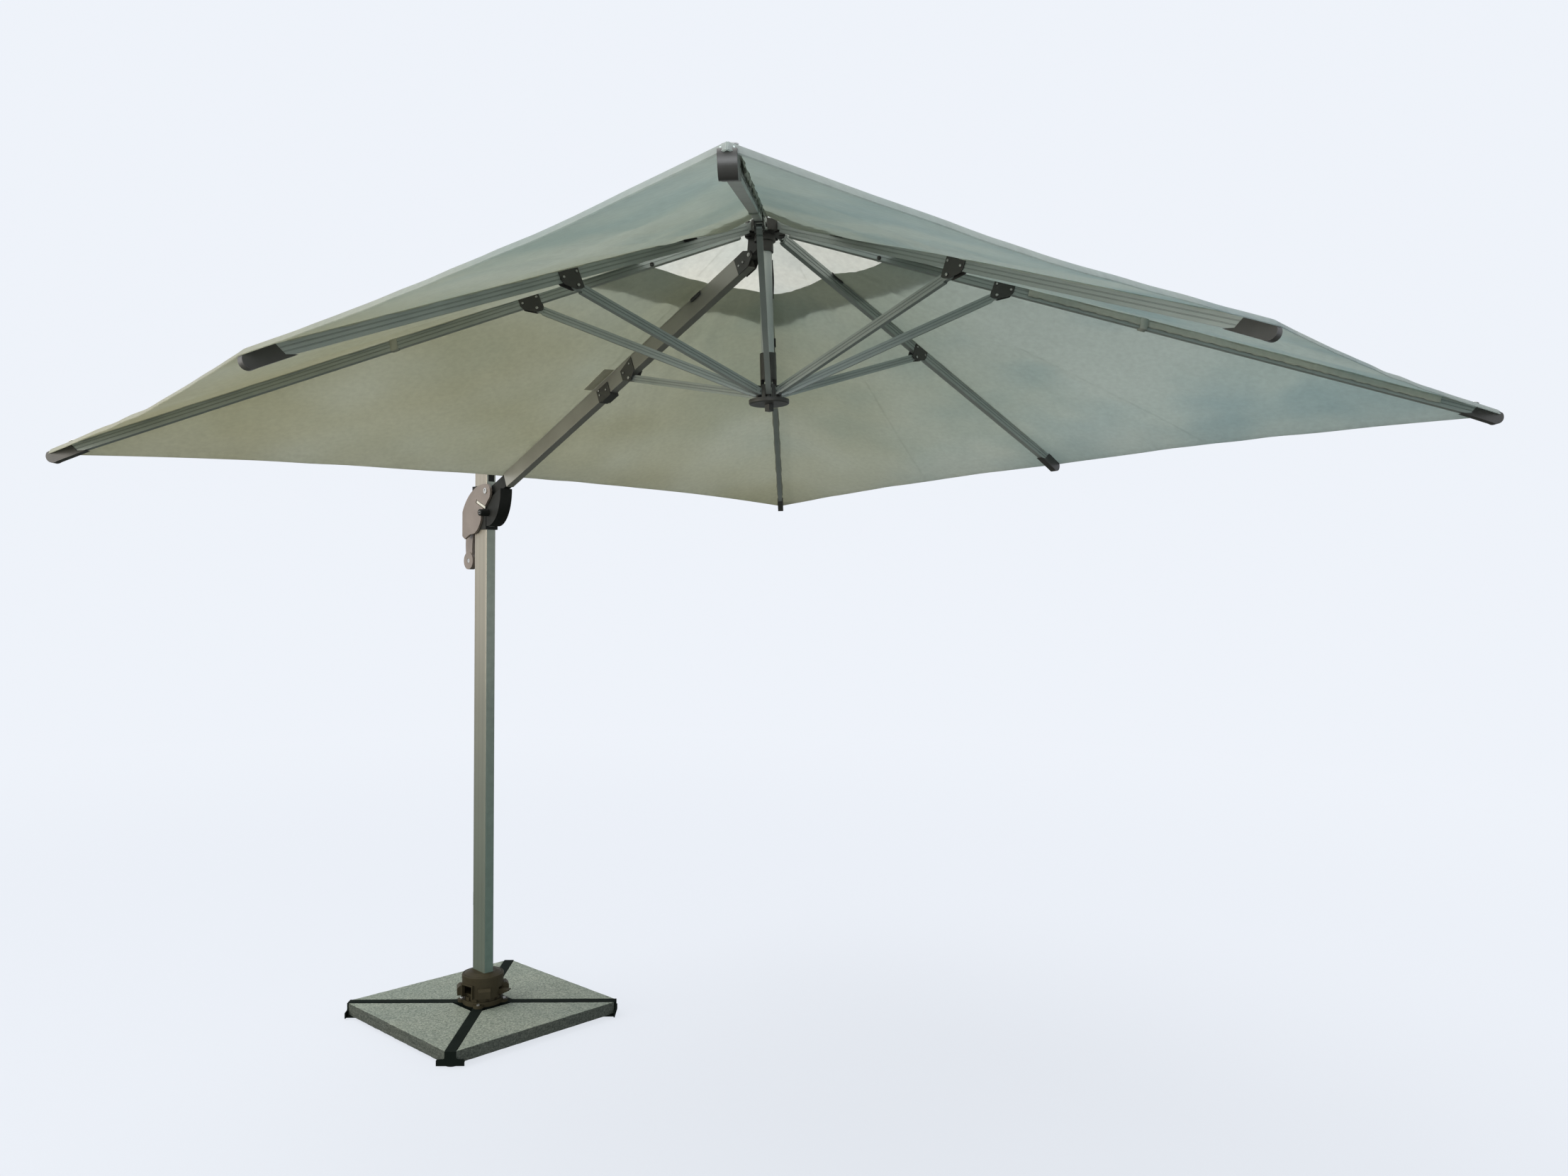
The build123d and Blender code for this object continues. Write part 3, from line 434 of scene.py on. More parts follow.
def granite(name, tone):
    """Flamed granite: pale ground, grey-green and dark grains of several sizes, pitted surface."""
    n = Nodes(name)
    stops = ((0.32, (0.10, 0.125, 0.10)), (0.48, (0.235, 0.27, 0.225)), (0.66, (0.42, 0.45, 0.385)))
    ground = n.ramp(n.noise(140, 5, 0.7), *((at, tuple(tone * c for c in colour)) for at, colour in stops))
    grains = n.ramp(n.cells(420).outputs["Distance"], (0.12, (0.03, 0.04, 0.033)), (0.34, (1, 1, 1)))
    pale = n.ramp(n.cells(260).outputs["Color"], (0.80, (0, 0, 0)), (0.9, (0.9, 0.92, 0.84)))
    colour = n.mix(0.45, ground, grains, "MULTIPLY")
    colour = n.mix(0.16 * tone, colour, pale, "ADD")
    cloud = n.ramp(n.noise(4.5, 3), (0.25, (0.80, 0.84, 0.82)), (0.8, (1.05, 1.04, 0.98)))
    n.colour(n.mix(1.0, colour, cloud, "MULTIPLY"))
    n.roughness(n.spread(n.noise(200, 4), 0.62, 0.9))
    n.bump(n.noise(230, 6, 0.7), 0.0011, 0.8)
    n.set(Specular_IOR_Level=0.35)
    return n.material


def rubber(name):
    """Dull black rubber with a dusty, uneven skin."""
    n = Nodes(name)
    n.colour(n.ramp(n.noise(60, 4), (0.3, (0.012, 0.012, 0.012)), (0.8, (0.03, 0.03, 0.029))))
    n.roughness(n.spread(n.noise(300, 3), 0.7, 0.95))
    n.bump(n.noise(700, 3), 0.0002, 0.5)
    return n.material


def weave(n, scale, distance):
    """Plain weave as a bump: two crossed sets of threads with uneven yarn."""
    inputs = {"Scale": scale, "Distortion": 0.6, "Detail": 1, "Vector": n.coords}
    waves = [n.new("ShaderNodeTexWave", inputs, bands_direction=way).outputs["Fac"] for way in ("X", "Y")]
    both = n.new("ShaderNodeMath", enumerate(waves), operation="MULTIPLY")
    n.bump(both.outputs[0], distance, 0.35)


def cloth_material(name, warm, cool, patch, through):
    """Woven canopy cloth with painted light: its hue drifts from warm to cool across the span as painted warm
    and cool light, with soft paler patches of painted light, bluer patches of painted cool light, and painted
    shade from the tone attribute.
    """
    n = Nodes(name)
    tone = n.new("ShaderNodeAttribute", attribute_name="tone").outputs["Fac"]
    hue = n.new("ShaderNodeAttribute", attribute_name="hue").outputs["Fac"]
    # Painted warm and cool light: the hue attribute blends the warm colour into the cool one.
    colour = n.mix(hue, warm, cool)
    # Soft paler patches of painted light.
    soft = n.ramp(n.noise(1.7, 2, 0.4), (0.36, (0, 0, 0)), (0.68, (1, 1, 1)))
    colour = n.mix(n.spread(soft, 0.0, 0.42), colour, patch)
    # Bluer patches of painted cool light, stronger on the cool side.
    blue = n.ramp(n.noise(2.6, 2, 0.5), (0.46, (1, 1, 1)), (0.66, (0.86, 0.91, 0.94)))
    colour = n.mix(n.spread(hue, 0.15, 1.0), colour, n.mix(1.0, colour, blue, "MULTIPLY"))
    fine = n.ramp(n.noise(60, 5), (0.3, (0.94, 0.94, 0.94)), (0.7, (1.04, 1.04, 1.04)))
    colour = n.mix(1.0, colour, fine, "MULTIPLY")
    # Painted shade: the tone attribute darkens the colour, as where the cowl overlaps the cloth.
    colour = n.mix(1.0, colour, n.ramp(tone, (0.0, (0, 0, 0)), (1.0, (1, 1, 1))), "MULTIPLY")
    n.colour(colour)
    weave(n, 220, 0.00022)
    n.set(Roughness=0.88, Specular_IOR_Level=0.22, Sheen_Weight=0.18, Sheen_Roughness=0.5)
    n.blend_with(through, n.new("ShaderNodeBsdfTranslucent", {"Color": colour}))
    return n.material


def strap_material(name, dark, light):
    """Woven webbing with a coarse weave."""
    n = Nodes(name)
    n.colour(n.ramp(n.noise(300, 4), (0.3, dark), (0.7, light)))
    weave(n, 420, 0.0003)
    n.set(Roughness=0.85, Specular_IOR_Level=0.25, Sheen_Weight=0.2)
    return n.material


BLACK = moulded_plastic("black_moulding", (0.008, 0.009, 0.008), (0.018, 0.019, 0.017), 0.56, gloss=0.16)
BLACK_STEEL = coated_metal("black_powder_coat", (0.004, 0.006, 0.005), (0.009, 0.012, 0.010), 0.66,
                           gloss=0.01)
BRONZE = coated_metal("bronze_powder_coat", (0.024, 0.020, 0.011), (0.040, 0.034, 0.020), 0.52, gloss=0.06)
BRONZE_SHELL = moulded_plastic("bronze_shell", (0.120, 0.095, 0.075), (0.165, 0.135, 0.110), 0.36, coat=0.25)
MAST = mast_metal()
BOOM = rib_metal("boom_anodised", (0.27, 0.265, 0.235), (0.36, 0.355, 0.32))
RIB = rib_metal("rib_anodised", (0.33, 0.37, 0.355), (0.43, 0.47, 0.455))
TUBE = rib_metal("tube_grey", (0.44, 0.48, 0.475), (0.54, 0.58, 0.57))
PLATE = coated_metal("bracket_coat", (0.040, 0.040, 0.036), (0.062, 0.061, 0.056), 0.42)
CAP = moulded_plastic("cap_moulding", (0.032, 0.032, 0.029), (0.055, 0.053, 0.049), 0.4)
STEEL = bare_steel("zinc_steel")
STONE = granite("granite_flamed", 0.6)
STONE_SIDE = granite("granite_split", 0.22)
RUBBER = rubber("black_rubber")
PALE = moulded_plastic("pale_moulding", (0.42, 0.42, 0.36), (0.52, 0.51, 0.45), 0.38)
# The underside is a darker, greener copy of the top cloth; its darkening is painted shade.
UNDER = cloth_material("canopy_underside", (0.530, 0.525, 0.420), (0.565, 0.625, 0.600),
                       (0.66, 0.69, 0.66), 0.66)
TOP = cloth_material("canopy_top", (0.90, 0.90, 0.85), (0.88, 0.90, 0.87), (0.92, 0.92, 0.89), 0.76)
HEM_CLOTH = cloth_material("canopy_hem", (0.88, 0.89, 0.85), (0.86, 0.89, 0.88), (0.91, 0.93, 0.92), 0.3)
COWL_UNDER = cloth_material("cowl_underside", (0.78, 0.77, 0.72), (0.77, 0.78, 0.74), (0.82, 0.82, 0.79), 0.8)
SEAM = cloth_material("seam_tape", (0.66, 0.66, 0.54), (0.62, 0.67, 0.60), (0.72, 0.73, 0.66), 0.3)
FLAP = cloth_material("beige_flap", (0.50, 0.485, 0.37), (0.47, 0.48, 0.40), (0.58, 0.57, 0.48), 0.35)
STRAP = strap_material("black_webbing", (0.010, 0.010, 0.011), (0.03, 0.03, 0.031))

NODE_LOOKS = (
    (BLACK_STEEL, "base_cross"),
    (RUBBER, "base_feet"),
    (BRONZE, "base_flange turntable_ring turntable_drum turntable_lid foot_pedal"),
    (STEEL, "base_bolts carriage_pins lever_screw boom_pin hub_pins"),
    (MAST, "mast_tube"),
    (BLACK, "mast_cap mast_fittings carriage_core boom_root crank_socket"),
    (BRONZE_SHELL, "carriage_cheeks grip_lever"),
    (PALE, "carriage_bar"),
    (BOOM, "boom_tube"),
    (PLATE, "boom_end boom_bracket boom_sleeve"),
    (CAP, "hub_ring runner_body"),
    (TUBE, "runner_tube"),
)


def paint_nodes():
    """Gives every CAD node that stays its own finish."""
    for material, names in NODE_LOOKS:
        for name in names.split():
            paint(NODES[name], material)
    for name in (*CORNERS, *MIDS):
        for part, material in (("rib_", RIB), ("rib_cap_", CAP), ("rib_bracket_", PLATE), ("strut_", RIB)):
            paint(NODES[part + name], material)
    paint(NODES["strut_w"], RIB)


# ------------------------------------------------------------------ canopy
def smooth_step(x):
    x = min(max(x, 0.0), 1.0)
    return x * x * (3 - 2 * x)


def crease(side, s, out):
    """Long soft creases that run out from the near corner rib across its two sides."""
    if side not in ("e", "s"):
        return 0.0
    away = 1 + s if side == "e" else 1 - s
    fade = math.exp(-((away - 0.35) / 0.45) ** 2)
    total = 0.0
    for level, lean, width in ((0.80, 0.30, 0.035), (0.62, 0.34, 0.05), (0.46, 0.22, 0.04)):
        line = level - lean * away * (0.6 if side == "s" else 1.0)
        total += fade * math.exp(-((out - line) / width) ** 2)
    return total


class Cloth:
    """One square pyramid of cloth: the main canopy or the cowl over its vent."""

    def __init__(self, inner, half, apex, corner_z, mid_z, main):
        self.inner = inner
        self.half = half
        self.apex = apex
        self.corner_z = corner_z
        self.mid_z = mid_z
        self.main = main

    def rim(self, side, s):
        """Distance of the free edge from the middle, at the share s from mid line to corner line."""
        if not self.main:
            return self.half - 0.012 * math.sin(math.pi * abs(s)) ** 2
        if side == "w":
            return self.half - WEST_SAG * (1 - s * s)
        return self.half - RIM_SAG * math.sin(math.pi * abs(s)) ** 0.9

    def edge_z(self, side, s):
        if side == "w":
            return self.corner_z + (self.mid_z - self.corner_z) * (1 - s * s)
        return self.mid_z + (self.corner_z - self.mid_z) * abs(s)

    def fold(self, side, s, out):
        """Depth of sag and of the soft folds, upwards, at the share out from the middle to the rim."""
        if side == "w":
            between = math.sin(math.pi * (1 - abs(s)) / 2) ** 2
        else:
            between = math.sin(math.pi * abs(s))
        if not self.main:
            return -0.006 * between * out
        sag = -0.010 * between * (0.25 + 0.75 * out)
        near_vent = math.exp(-((out * self.half - self.inner) / 0.16))
        sag -= 0.012 * between * near_vent
        azimuth = SIDES[side]
        inside = 1 - smooth_step((out - 0.78) / 0.2)
        broad = noise.noise(Vector((2.2 * out + azimuth, 3.1 * s, 0.3)))
        folds = noise.noise(Vector((1.5 * out - azimuth, 11.0 * s + 2.4 * out, 4.1)))
        calm = (0.25 + 0.75 * inside) * (1 - 0.8 * near_vent ** 2)
        sag += between * (0.011 * broad + 0.0125 * folds) * calm
        sag -= 0.009 * between * crease(side, s, out)
        return sag

    def rows(self):
        """Shares of the way from inner edge to rim, with close pairs where a hem ends and at the lip."""
        span = self.half - self.inner
        hem = HEM / span
        step = STEP / span
        lip = LIP / span
        plain = [hem + step + (1 - 2 * hem - 2 * step) * i / ROWS for i in range(ROWS + 1)]
        return [0.0, hem] + plain + [1 - hem, 1 - lip, 1 - 0.7 * lip, 1 - 0.4 * lip, 1 - 0.15 * lip, 1.0]

    def facet(self, side, angle, x):
        """Point at the distance x from the middle on a side's plain facet, in the side's own frame."""
        s = math.tan(math.radians(angle))
        return Vector((x, x * s, self.apex + (self.edge_z(side, s) - self.apex) * x / self.half))

    def reach(self, side, angle, v):
        """Distance from the middle at the share v of the way from the inner edge to the rim."""
        return self.inner + (self.rim(side, math.tan(math.radians(angle))) - self.inner) * v

    def point(self, side, angle, v):
        """Point of the hung cloth: the facet with its sag, folds and turned-down lip."""
        s = math.tan(math.radians(angle))
        x = self.reach(side, angle, v)
        spot = self.facet(side, angle, x)
        spot.z += self.fold(side, s, x / self.half)
        turned_down = max(0.0, 1 - (1 - v) * (self.half - self.inner) / LIP)
        spot.z -= 0.75 * LIP * turned_down ** 2
        return spot

    def side_grid(self, side):
        """Points and unit normals of one whole side, as arrays of rows by steps by 3."""
        place_at = turned(SIDES[side])
        angles = [-45 + 90 * i / STEPS for i in range(STEPS + 1)]
        grid = np.array([[place_at @ self.point(side, a, v) for a in angles] for v in self.rows()])
        down = np.gradient(grid, axis=0)
        across = np.gradient(grid, axis=1)
        normal = np.cross(down, across)
        normal /= np.linalg.norm(normal, axis=2, keepdims=True)
        return grid, normal

    def flat(self, side, low, high):
        """Flat area of a gore, and its cut width and length."""
        shares = [0.0, 0.5, 1.0]
        angles = [low + (high - low) * i / 8 for i in range(9)]
        grid = [[self.facet(side, angle, self.reach(side, angle, v)) for angle in angles] for v in shares]
        area = 0.0
        for near, far in zip(grid, grid[1:]):
            for j in range(len(angles) - 1):
                a, b, c, d = near[j], near[j + 1], far[j + 1], far[j]
                area += ((b - a).cross(c - a).length + (c - a).cross(d - a).length) / 2
        width = (grid[-1][-1] - grid[-1][0]).length
        length = max((grid[-1][j] - grid[0][j]).length for j in (0, -1))
        return area, width, length


def tone_and_hue(cloth, point):
    """Painted shade and hue of a place on the cloth: painted shadow darkens it where the cowl overlaps, it is
    a little darker within a quarter metre of the rim, and painted warm light makes it warmer towards the
    mast.
    """
    local = HUB.inverted() @ Vector(point)
    reach = max(abs(local.x), abs(local.y))
    tone = 1.0
    if cloth.main:
        # Painted shadow where the cowl overlaps the cloth.
        tone = 0.96 + 0.04 * smooth_step((reach - COWL_HALF + 0.008) / 0.016)
        tone *= 0.93 + 0.07 * smooth_step((HALF - reach) / 0.25)
    # Painted warm light towards the mast, painted cool light away from it.
    hue = smooth_step(0.5 + 0.36 * local.x + 0.12 * local.y)
    return tone, hue


def shade_points(obj, tones, hues):
    """Stores the shade and the hue that the cloth materials read at each point."""
    for key, values in (("tone", tones), ("hue", hues)):
        layer = obj.data.attributes.new(key, "FLOAT", "POINT")
        layer.data.foreach_set("value", values)


def gore(name, cloth, side, low, high, looks):
    """Closed thin shell of cloth between two angles of one side: underside, upper side and hem."""
    grid, normal = cloth.side_grid(side)
    first = round((low + 45) * STEPS / 90)
    last = round((high + 45) * STEPS / 90)
    grid = grid[:, first:last + 1]
    normal = normal[:, first:last + 1]
    count, wide = grid.shape[:2]
    outer_hem = count - OUTER_ROWS
    in_hem = np.array([1 if i < INNER_ROWS or i >= outer_hem else 0 for i in range(count)])[:, None, None]
    bottom = grid - normal * HEM_DROP * in_hem
    top = grid + normal * (CLOTH + HEM_SWELL * in_hem)
    verts = np.concatenate([bottom.reshape(-1, 3), top.reshape(-1, 3)])
    normals = np.concatenate([-normal.reshape(-1, 3), normal.reshape(-1, 3)])
    size = count * wide
    under_look, over_look, hem_look = range(3)
    faces = []
    kinds = []
    for i in range(count - 1):
        hemmed = i < 1 or i >= outer_hem
        for j in range(wide - 1):
            a = i * wide + j
            faces.append((a, a + 1, a + wide + 1, a + wide))
            kinds.append(under_look)
            faces.append((size + a, size + a + wide, size + a + wide + 1, size + a + 1))
            kinds.append(hem_look if hemmed else over_look)
    shell = len(faces)
    ring = list(range(wide))
    ring += [i * wide + wide - 1 for i in range(1, count)]
    ring += [(count - 1) * wide + j for j in range(wide - 2, -1, -1)]
    ring += [i * wide for i in range(count - 2, 0, -1)]
    for a, b in zip(ring, ring[1:] + ring[:1]):
        faces.append((b, a, size + a, size + b))
        kinds.append(hem_look)
    obj = mesh_from(name, verts, faces)
    mesh = obj.data
    mesh.polygons.foreach_set("material_index", kinds)
    loops = []
    for polygon in mesh.polygons:
        for vertex in polygon.vertices:
            loops.append(tuple(normals[vertex]) if polygon.index < shell else tuple(polygon.normal))
    mesh.normals_split_custom_set(loops)
    shades = [tone_and_hue(cloth, v) for v in verts]
    shade_points(obj, [tone for tone, hue in shades], [hue for tone, hue in shades])
    paint(obj, *looks)
    return obj


def in_plane_across(cloth, side, corner_angle, mid_angle):
    """Direction in a side's plane, square to the corner rib, and a point on that rib's line."""
    place_at = turned(SIDES[side])
    start = place_at @ cloth.facet(side, corner_angle, cloth.inner)
    along = (place_at @ cloth.facet(side, corner_angle, cloth.half) - start).normalized()
    across = place_at @ cloth.facet(side, mid_angle, cloth.half) - start
    across -= along * across.dot(along)
    return across.normalized(), start


MAIN = Cloth(VENT, HALF, APEX_Z, CORNER_Z, MID_Z, True)
COWL = Cloth(COWL_CROWN, COWL_HALF, COWL_APEX_Z, COWL_CORNER_Z, COWL_MID_Z, False)
GORES = []


def corner_gore(prefix, cloth, side, corner, sign, inner_angle, keep, looks):
    """Part of a side that is sewn to a corner rib, from that rib's line to inner_angle."""
    low, high = sorted((sign * 45, sign * inner_angle))
    obj = gore(prefix + "_" + corner + "_" + side, cloth, side, low, high, looks)
    axis, anchor = in_plane_across(cloth, side, sign * 45, sign * inner_angle)
    GORES.append((obj, "rib_" + corner, axis, anchor, keep, *cloth.flat(side, low, high)))
    return obj


def mid_gore(prefix, cloth, side, keep, looks):
    """Middle part of a side, sewn to a mid rib."""
    obj = gore(prefix + "_" + side, cloth, side, -GORE_SPLIT, GORE_SPLIT, looks)
    place_at = turned(SIDES[side])
    axis = place_at.to_3x3() @ Vector((0, 1, 0))
    anchor = place_at @ Vector((cloth.inner, 0, 0))
    GORES.append((obj, "rib_" + side, axis, anchor, keep, *cloth.flat(side, -GORE_SPLIT, GORE_SPLIT)))
    return obj


def settle_gores():
    """Each gore rides on its rib."""
    for obj, body, axis, anchor, keep, area, width, length in GORES:
        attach(obj, body)
        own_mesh(obj)


def canopy_pieces(prefix, cloth, looks, keeps):
    """All gores of one pyramid: three on the mid ribs, eight on the corner ribs. Gives back the first.

    keeps are the shares of their width that corner, mid and west gores are meant to keep when folded; they
    are not used.
    """
    corner_keep, mid_keep, west_keep = keeps
    mids = [mid_gore(prefix, cloth, side, mid_keep, looks) for side in MIDS]
    ends = {"e": ("se", "ne"), "n": ("ne", "nw"), "s": ("sw", "se"), "w": ("nw", "sw")}
    for side, (low_corner, high_corner) in ends.items():
        stop = 0 if side == "w" else GORE_SPLIT
        keep = west_keep if side == "w" else corner_keep
        corner_gore(prefix, cloth, side, low_corner, -1, stop, keep, looks)
        corner_gore(prefix, cloth, side, high_corner, 1, stop, keep, looks)
    return mids[0]


def canopy():
    first_main = canopy_pieces("canopy", MAIN, (UNDER, TOP, HEM_CLOTH), (0.08, 0.07, 0.045))
    first_cowl = canopy_pieces("cowl", COWL, (COWL_UNDER, TOP, HEM_CLOTH), (0.12, 0.12, 0.08))
    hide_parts("canopy_cloth")
    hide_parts("vent_cowl")
    settle_gores()


def cowl_crown():
    """Square cap of cloth at the very top, which stays on the hub."""
    rings = 8
    steps = 48
    half = COWL_CROWN * 1.03
    verts = []
    for layer in (0, 1):
        for i in range(rings + 1):
            for j in range(steps):
                turn = 2 * math.pi * j / steps
                side_turn = (turn + math.pi / 4) % (math.pi / 2) - math.pi / 4
                reach = half / math.cos(side_turn) * i / rings
                fall = (COWL_APEX_Z - COWL_MID_Z) / COWL_HALF * reach * math.cos(side_turn)
                z = COWL_APEX_Z - fall + 0.0016 + CLOTH * layer
                z -= 0.010 * math.exp(-reach / 0.012)
                verts.append(HUB @ Vector((reach * math.cos(turn), reach * math.sin(turn), z)))
    faces = []
    per = (rings + 1) * steps
    for i in range(rings):
        for j in range(steps):
            a, b = i * steps + j, i * steps + (j + 1) % steps
            faces.append((a, a + steps, b + steps, b))
            faces.append((per + a, per + b, per + b + steps, per + a + steps))
    for j in range(steps):
        a, b = rings * steps + j, rings * steps + (j + 1) % steps
        faces.append((a, per + a, per + b, b))
    obj = mesh_from("cowl_crown", verts, faces)
    weld(obj)
    finish_cloth(obj, TOP)
    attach(obj, "hub")


# ------------------------------------------------------------------ small pieces on the frame
def finish_cloth(obj, material, tone=1.0, hue=0.5):
    """Shade and hue for a small cloth piece, then its material and slot."""
    count = len(obj.data.vertices)
    shade_points(obj, [tone] * count, [hue] * count)
    paint(obj, material)


def hue_at(matrix, along):
    return tone_and_hue(MAIN, matrix @ Vector((along, 0, 0)))[1]


def fit(obj, material, body):
    """Material, slot and body of a small rigid piece."""
    paint(obj, material)
    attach(obj, body)


def strip(name, half_at, start, end, z_at, steps, thick=0.0012):
    """Thin strip along +X. half_at gives half its width and z_at its height at each share of the way."""
    verts = []
    for i in range(steps + 1):
        share = i / steps
        half = half_at(share)
        for y in (-half, 0, half):
            verts.append(Vector((start + (end - start) * share, y, z_at(share, y))))
    lower = [v.copy() for v in verts]
    upper = [v + Vector((0, 0, thick)) for v in verts]
    size = len(verts)
    faces = []
    for i in range(steps):
        for j in range(2):
            a = 3 * i + j
            faces.append((a, a + 3, a + 4, a + 1))
            faces.append((size + a, size + a + 1, size + a + 4, size + a + 3))
        for j, flip in ((0, False), (2, True)):
            a = 3 * i + j
            b = a + 3
            quad = (a, size + a, size + b, b)
            faces.append(quad[::-1] if flip else quad)
    for i, flip in ((0, True), (steps, False)):
        for j in range(2):
            a = 3 * i + j
            quad = (a, size + a, size + a + 1, a + 1)
            faces.append(quad[::-1] if flip else quad)
    return mesh_from(name, lower + upper, faces)


def rib_top():
    return -PIN_UP + RIB_TALL / 2


def pocket_tape(name, matrix, body, half_at, span, top, steps, looks):
    """Pale sewn pocket along the top of a profile, whose edges lap down over its sides."""
    start, end = span
    level, flat_half = top

    def z_at(share, y):
        return level - 0.8 * max(0.0, abs(y) - flat_half)

    tape = strip(name, half_at, start, end, z_at, steps)
    place(tape, matrix)
    finish_cloth(tape, SEAM, *looks)
    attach(tape, body)


def seam_tapes():
    """Sewn pockets along the ribs and the boom."""
    for name in (*CORNERS, *MIDS):
        length = CORNER_LENGTH if name in CORNERS else MID_LENGTH
        start = VENT * (math.sqrt(2) if name in CORNERS else 1.0)
        half = 0.0125 if name in CORNERS else 0.0115
        phase = 1.7 * len(name) + (CORNERS.get(name) or MIDS.get(name, 0)) / 30

        def half_at(share, half=half, phase=phase):
            return half + 0.0012 * math.sin(47 * share + phase) + 0.0008 * math.sin(113 * share + 2 * phase)

        matrix = rib_frame(name)
        body = "rib_" + name
        top = (rib_top() + 0.0005, RIB_Y / 2)
        pocket_tape("seam_" + name, matrix, body, half_at, (start, length - 0.10), top, 160,
                    (0.95, hue_at(matrix, length / 2)))
    pocket_tape("seam_boom", boom_frame(), "boom", lambda share: 0.0175, (0.33, 1.30),
                (0.0185, 0.0145), 60, (0.9, 0.1))


def gathered_strip(name, side, start, depth, wave, tone):
    """Gathered edge of the pocket along one side of a corner rib. wave is the strength of its ripples."""
    end = 1.98
    steps = 420
    inner = RIB_Y / 2 + 0.0012
    verts = []
    for i in range(steps + 1):
        share = i / steps
        x = start + (end - start) * share
        low = rib_top() - depth - wave * (0.0035 * math.sin(150 * share) + 0.002 * math.sin(331 * share + 1))
        swing = wave * (0.0016 * math.sin(97 * share) + 0.0012 * math.sin(211 * share))
        for part in range(4):
            t = part / 3
            y = inner + 0.0016 + (swing + 0.0018) * t
            z = rib_top() - 0.001 + (low - rib_top()) * t
            verts.append(Vector((x, side * y, z)))
    faces = []
    for i in range(steps):
        for j in range(3):
            a = 4 * i + j
            faces.append((a, a + 1, a + 5, a + 4)[::side])
    ruffle = mesh_from("gathered_" + name, verts, faces)
    add_modifier(ruffle, "SOLIDIFY", thickness=0.0009, offset=1)
    place(ruffle, rib_frame(name))
    finish_cloth(ruffle, SEAM, tone, 0.6)
    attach(ruffle, "rib_" + name)


def rib_loop(name, half_y):
    """Pale band of cloth that goes once round a corner rib, half-way along it."""
    body = "rib_" + name
    low = -PIN_UP - RIB_TALL / 2 - 0.0006
    high = rib_top() + 0.0022
    corner = 0.003
    path = []
    centres = ((half_y - corner, high - corner), (corner - half_y, high - corner),
               (corner - half_y, low + corner), (half_y - corner, low + corner))
    for quarter, (y, z) in enumerate(centres):
        for k in range(5):
            angle = math.radians(90 * quarter + 90 * k / 4)
            path.append(Vector((LOOP_AT, y + corner * math.cos(angle), z + corner * math.sin(angle))))
    path.append(path[0].copy())
    verts = []
    middle = Vector((LOOP_AT, 0, (low + high) / 2))
    for point in path:
        out = (point - middle).normalized()
        lean = 0.004 * smooth_step((high - point.z) / (high - low))
        for side in (-1, 0, 1):
            swell = LOOP_THICK * (1.5 if side == 0 else 1.0)
            for level in (0.0, swell):
                verts.append(point + Vector((side * LOOP_WIDTH / 2 + lean, 0, 0)) + out * level)
    faces = []
    for a in range(0, 6 * (len(path) - 1), 6):
        for i, j in ((0, 2), (2, 4), (3, 1), (5, 3), (1, 0), (4, 5)):
            faces.append((a + i, a + 6 + i, a + 6 + j, a + j))
    loop = mesh_from("loop_" + name, verts, faces)
    weld(loop, 1e-6)
    place(loop, rib_frame(name))
    finish_cloth(loop, SEAM, 0.92, hue_at(rib_frame(name), 1.0))
    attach(loop, body)


def loops_and_tabs():
    """Pale loops half-way along the corner ribs, black webbing tabs near the vent on the others."""
    half_y = RIB_Y / 2 + 0.0006
    for name in CORNERS:
        rib_loop(name, half_y + (OVER_GATHERS if name == "ne" else 0.0))
    high = rib_top() + 0.0022
    for name in MIDS:
        tab("saddle_" + name, "rib_" + name, rib_frame(name), TAB_AT, half_y, high)
    tab("saddle_boom", "boom", boom_frame(), BOOM_TAB_AT, 0.0158, 0.0192, 0.016)


def tab(name, body, matrix, at, half_y, high, drop=0.012, width=0.050):
    """Short black webbing tab laid over the top of a profile. Its ends stand out a little."""
    side = [(half_y + 0.0050, high - drop), (half_y + 0.0022, high - drop * 0.5),
            (half_y + 0.0008, high - 0.0022), (half_y - 0.0016, high), (half_y * 0.45, high + 0.0004)]
    path = [Vector((at, -y, z)) for y, z in side] + [Vector((at, y, z)) for y, z in reversed(side)]
    webbing = swept_band(name, path, Vector((1, 0, 0)), width, TAB_THICK)
    place(webbing, matrix)
    finish_cloth(webbing, STRAP)
    add_modifier(webbing, "BEVEL", width=0.0005, segments=2)
    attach(webbing, body)


def boom_flap():
    """Beige tab of cloth that lies over the boom above its clamp."""
    flap = strip("boom_flap", lambda share: FLAP_HALF, FLAP_FROM, FLAP_TO,
                 lambda share, y: 0.0200 - 1.6 * y * y + 0.004 * share, 14, 0.0014)
    place(flap, boom_frame())
    finish_cloth(flap, FLAP, 1.0, 0.1)
    add_modifier(flap, "BEVEL", width=0.0004, segments=1)
    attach(flap, "boom")


def screw_mesh(radius, height):
    """Domed screw head with a round socket, standing up along +Z."""
    hollow = radius * 0.42
    profile = [(0.0001, height * 0.45), (hollow, height * 0.45), (hollow, height * 0.98),
               (hollow * 1.15, height), (radius * 0.72, height), (radius * 0.93, height * 0.72),
               (radius, height * 0.35), (radius, -0.0002)]
    return lathe("head", profile, 24)


def screws(name, body, spots, material=STEEL):
    """Screw heads joined into one piece. A spot is (matrix, radius, height)."""
    bm = bmesh.new()
    for matrix, radius, height in spots:
        head = screw_mesh(radius, height)
        head.data.transform(matrix)
        bm.from_mesh(head.data)
        mesh = head.data
        bpy.data.objects.remove(head)
        bpy.data.meshes.remove(mesh)
    mesh = bpy.data.meshes.new(name)
    bm.to_mesh(mesh)
    bm.free()
    fit(link(name, mesh), material, body)


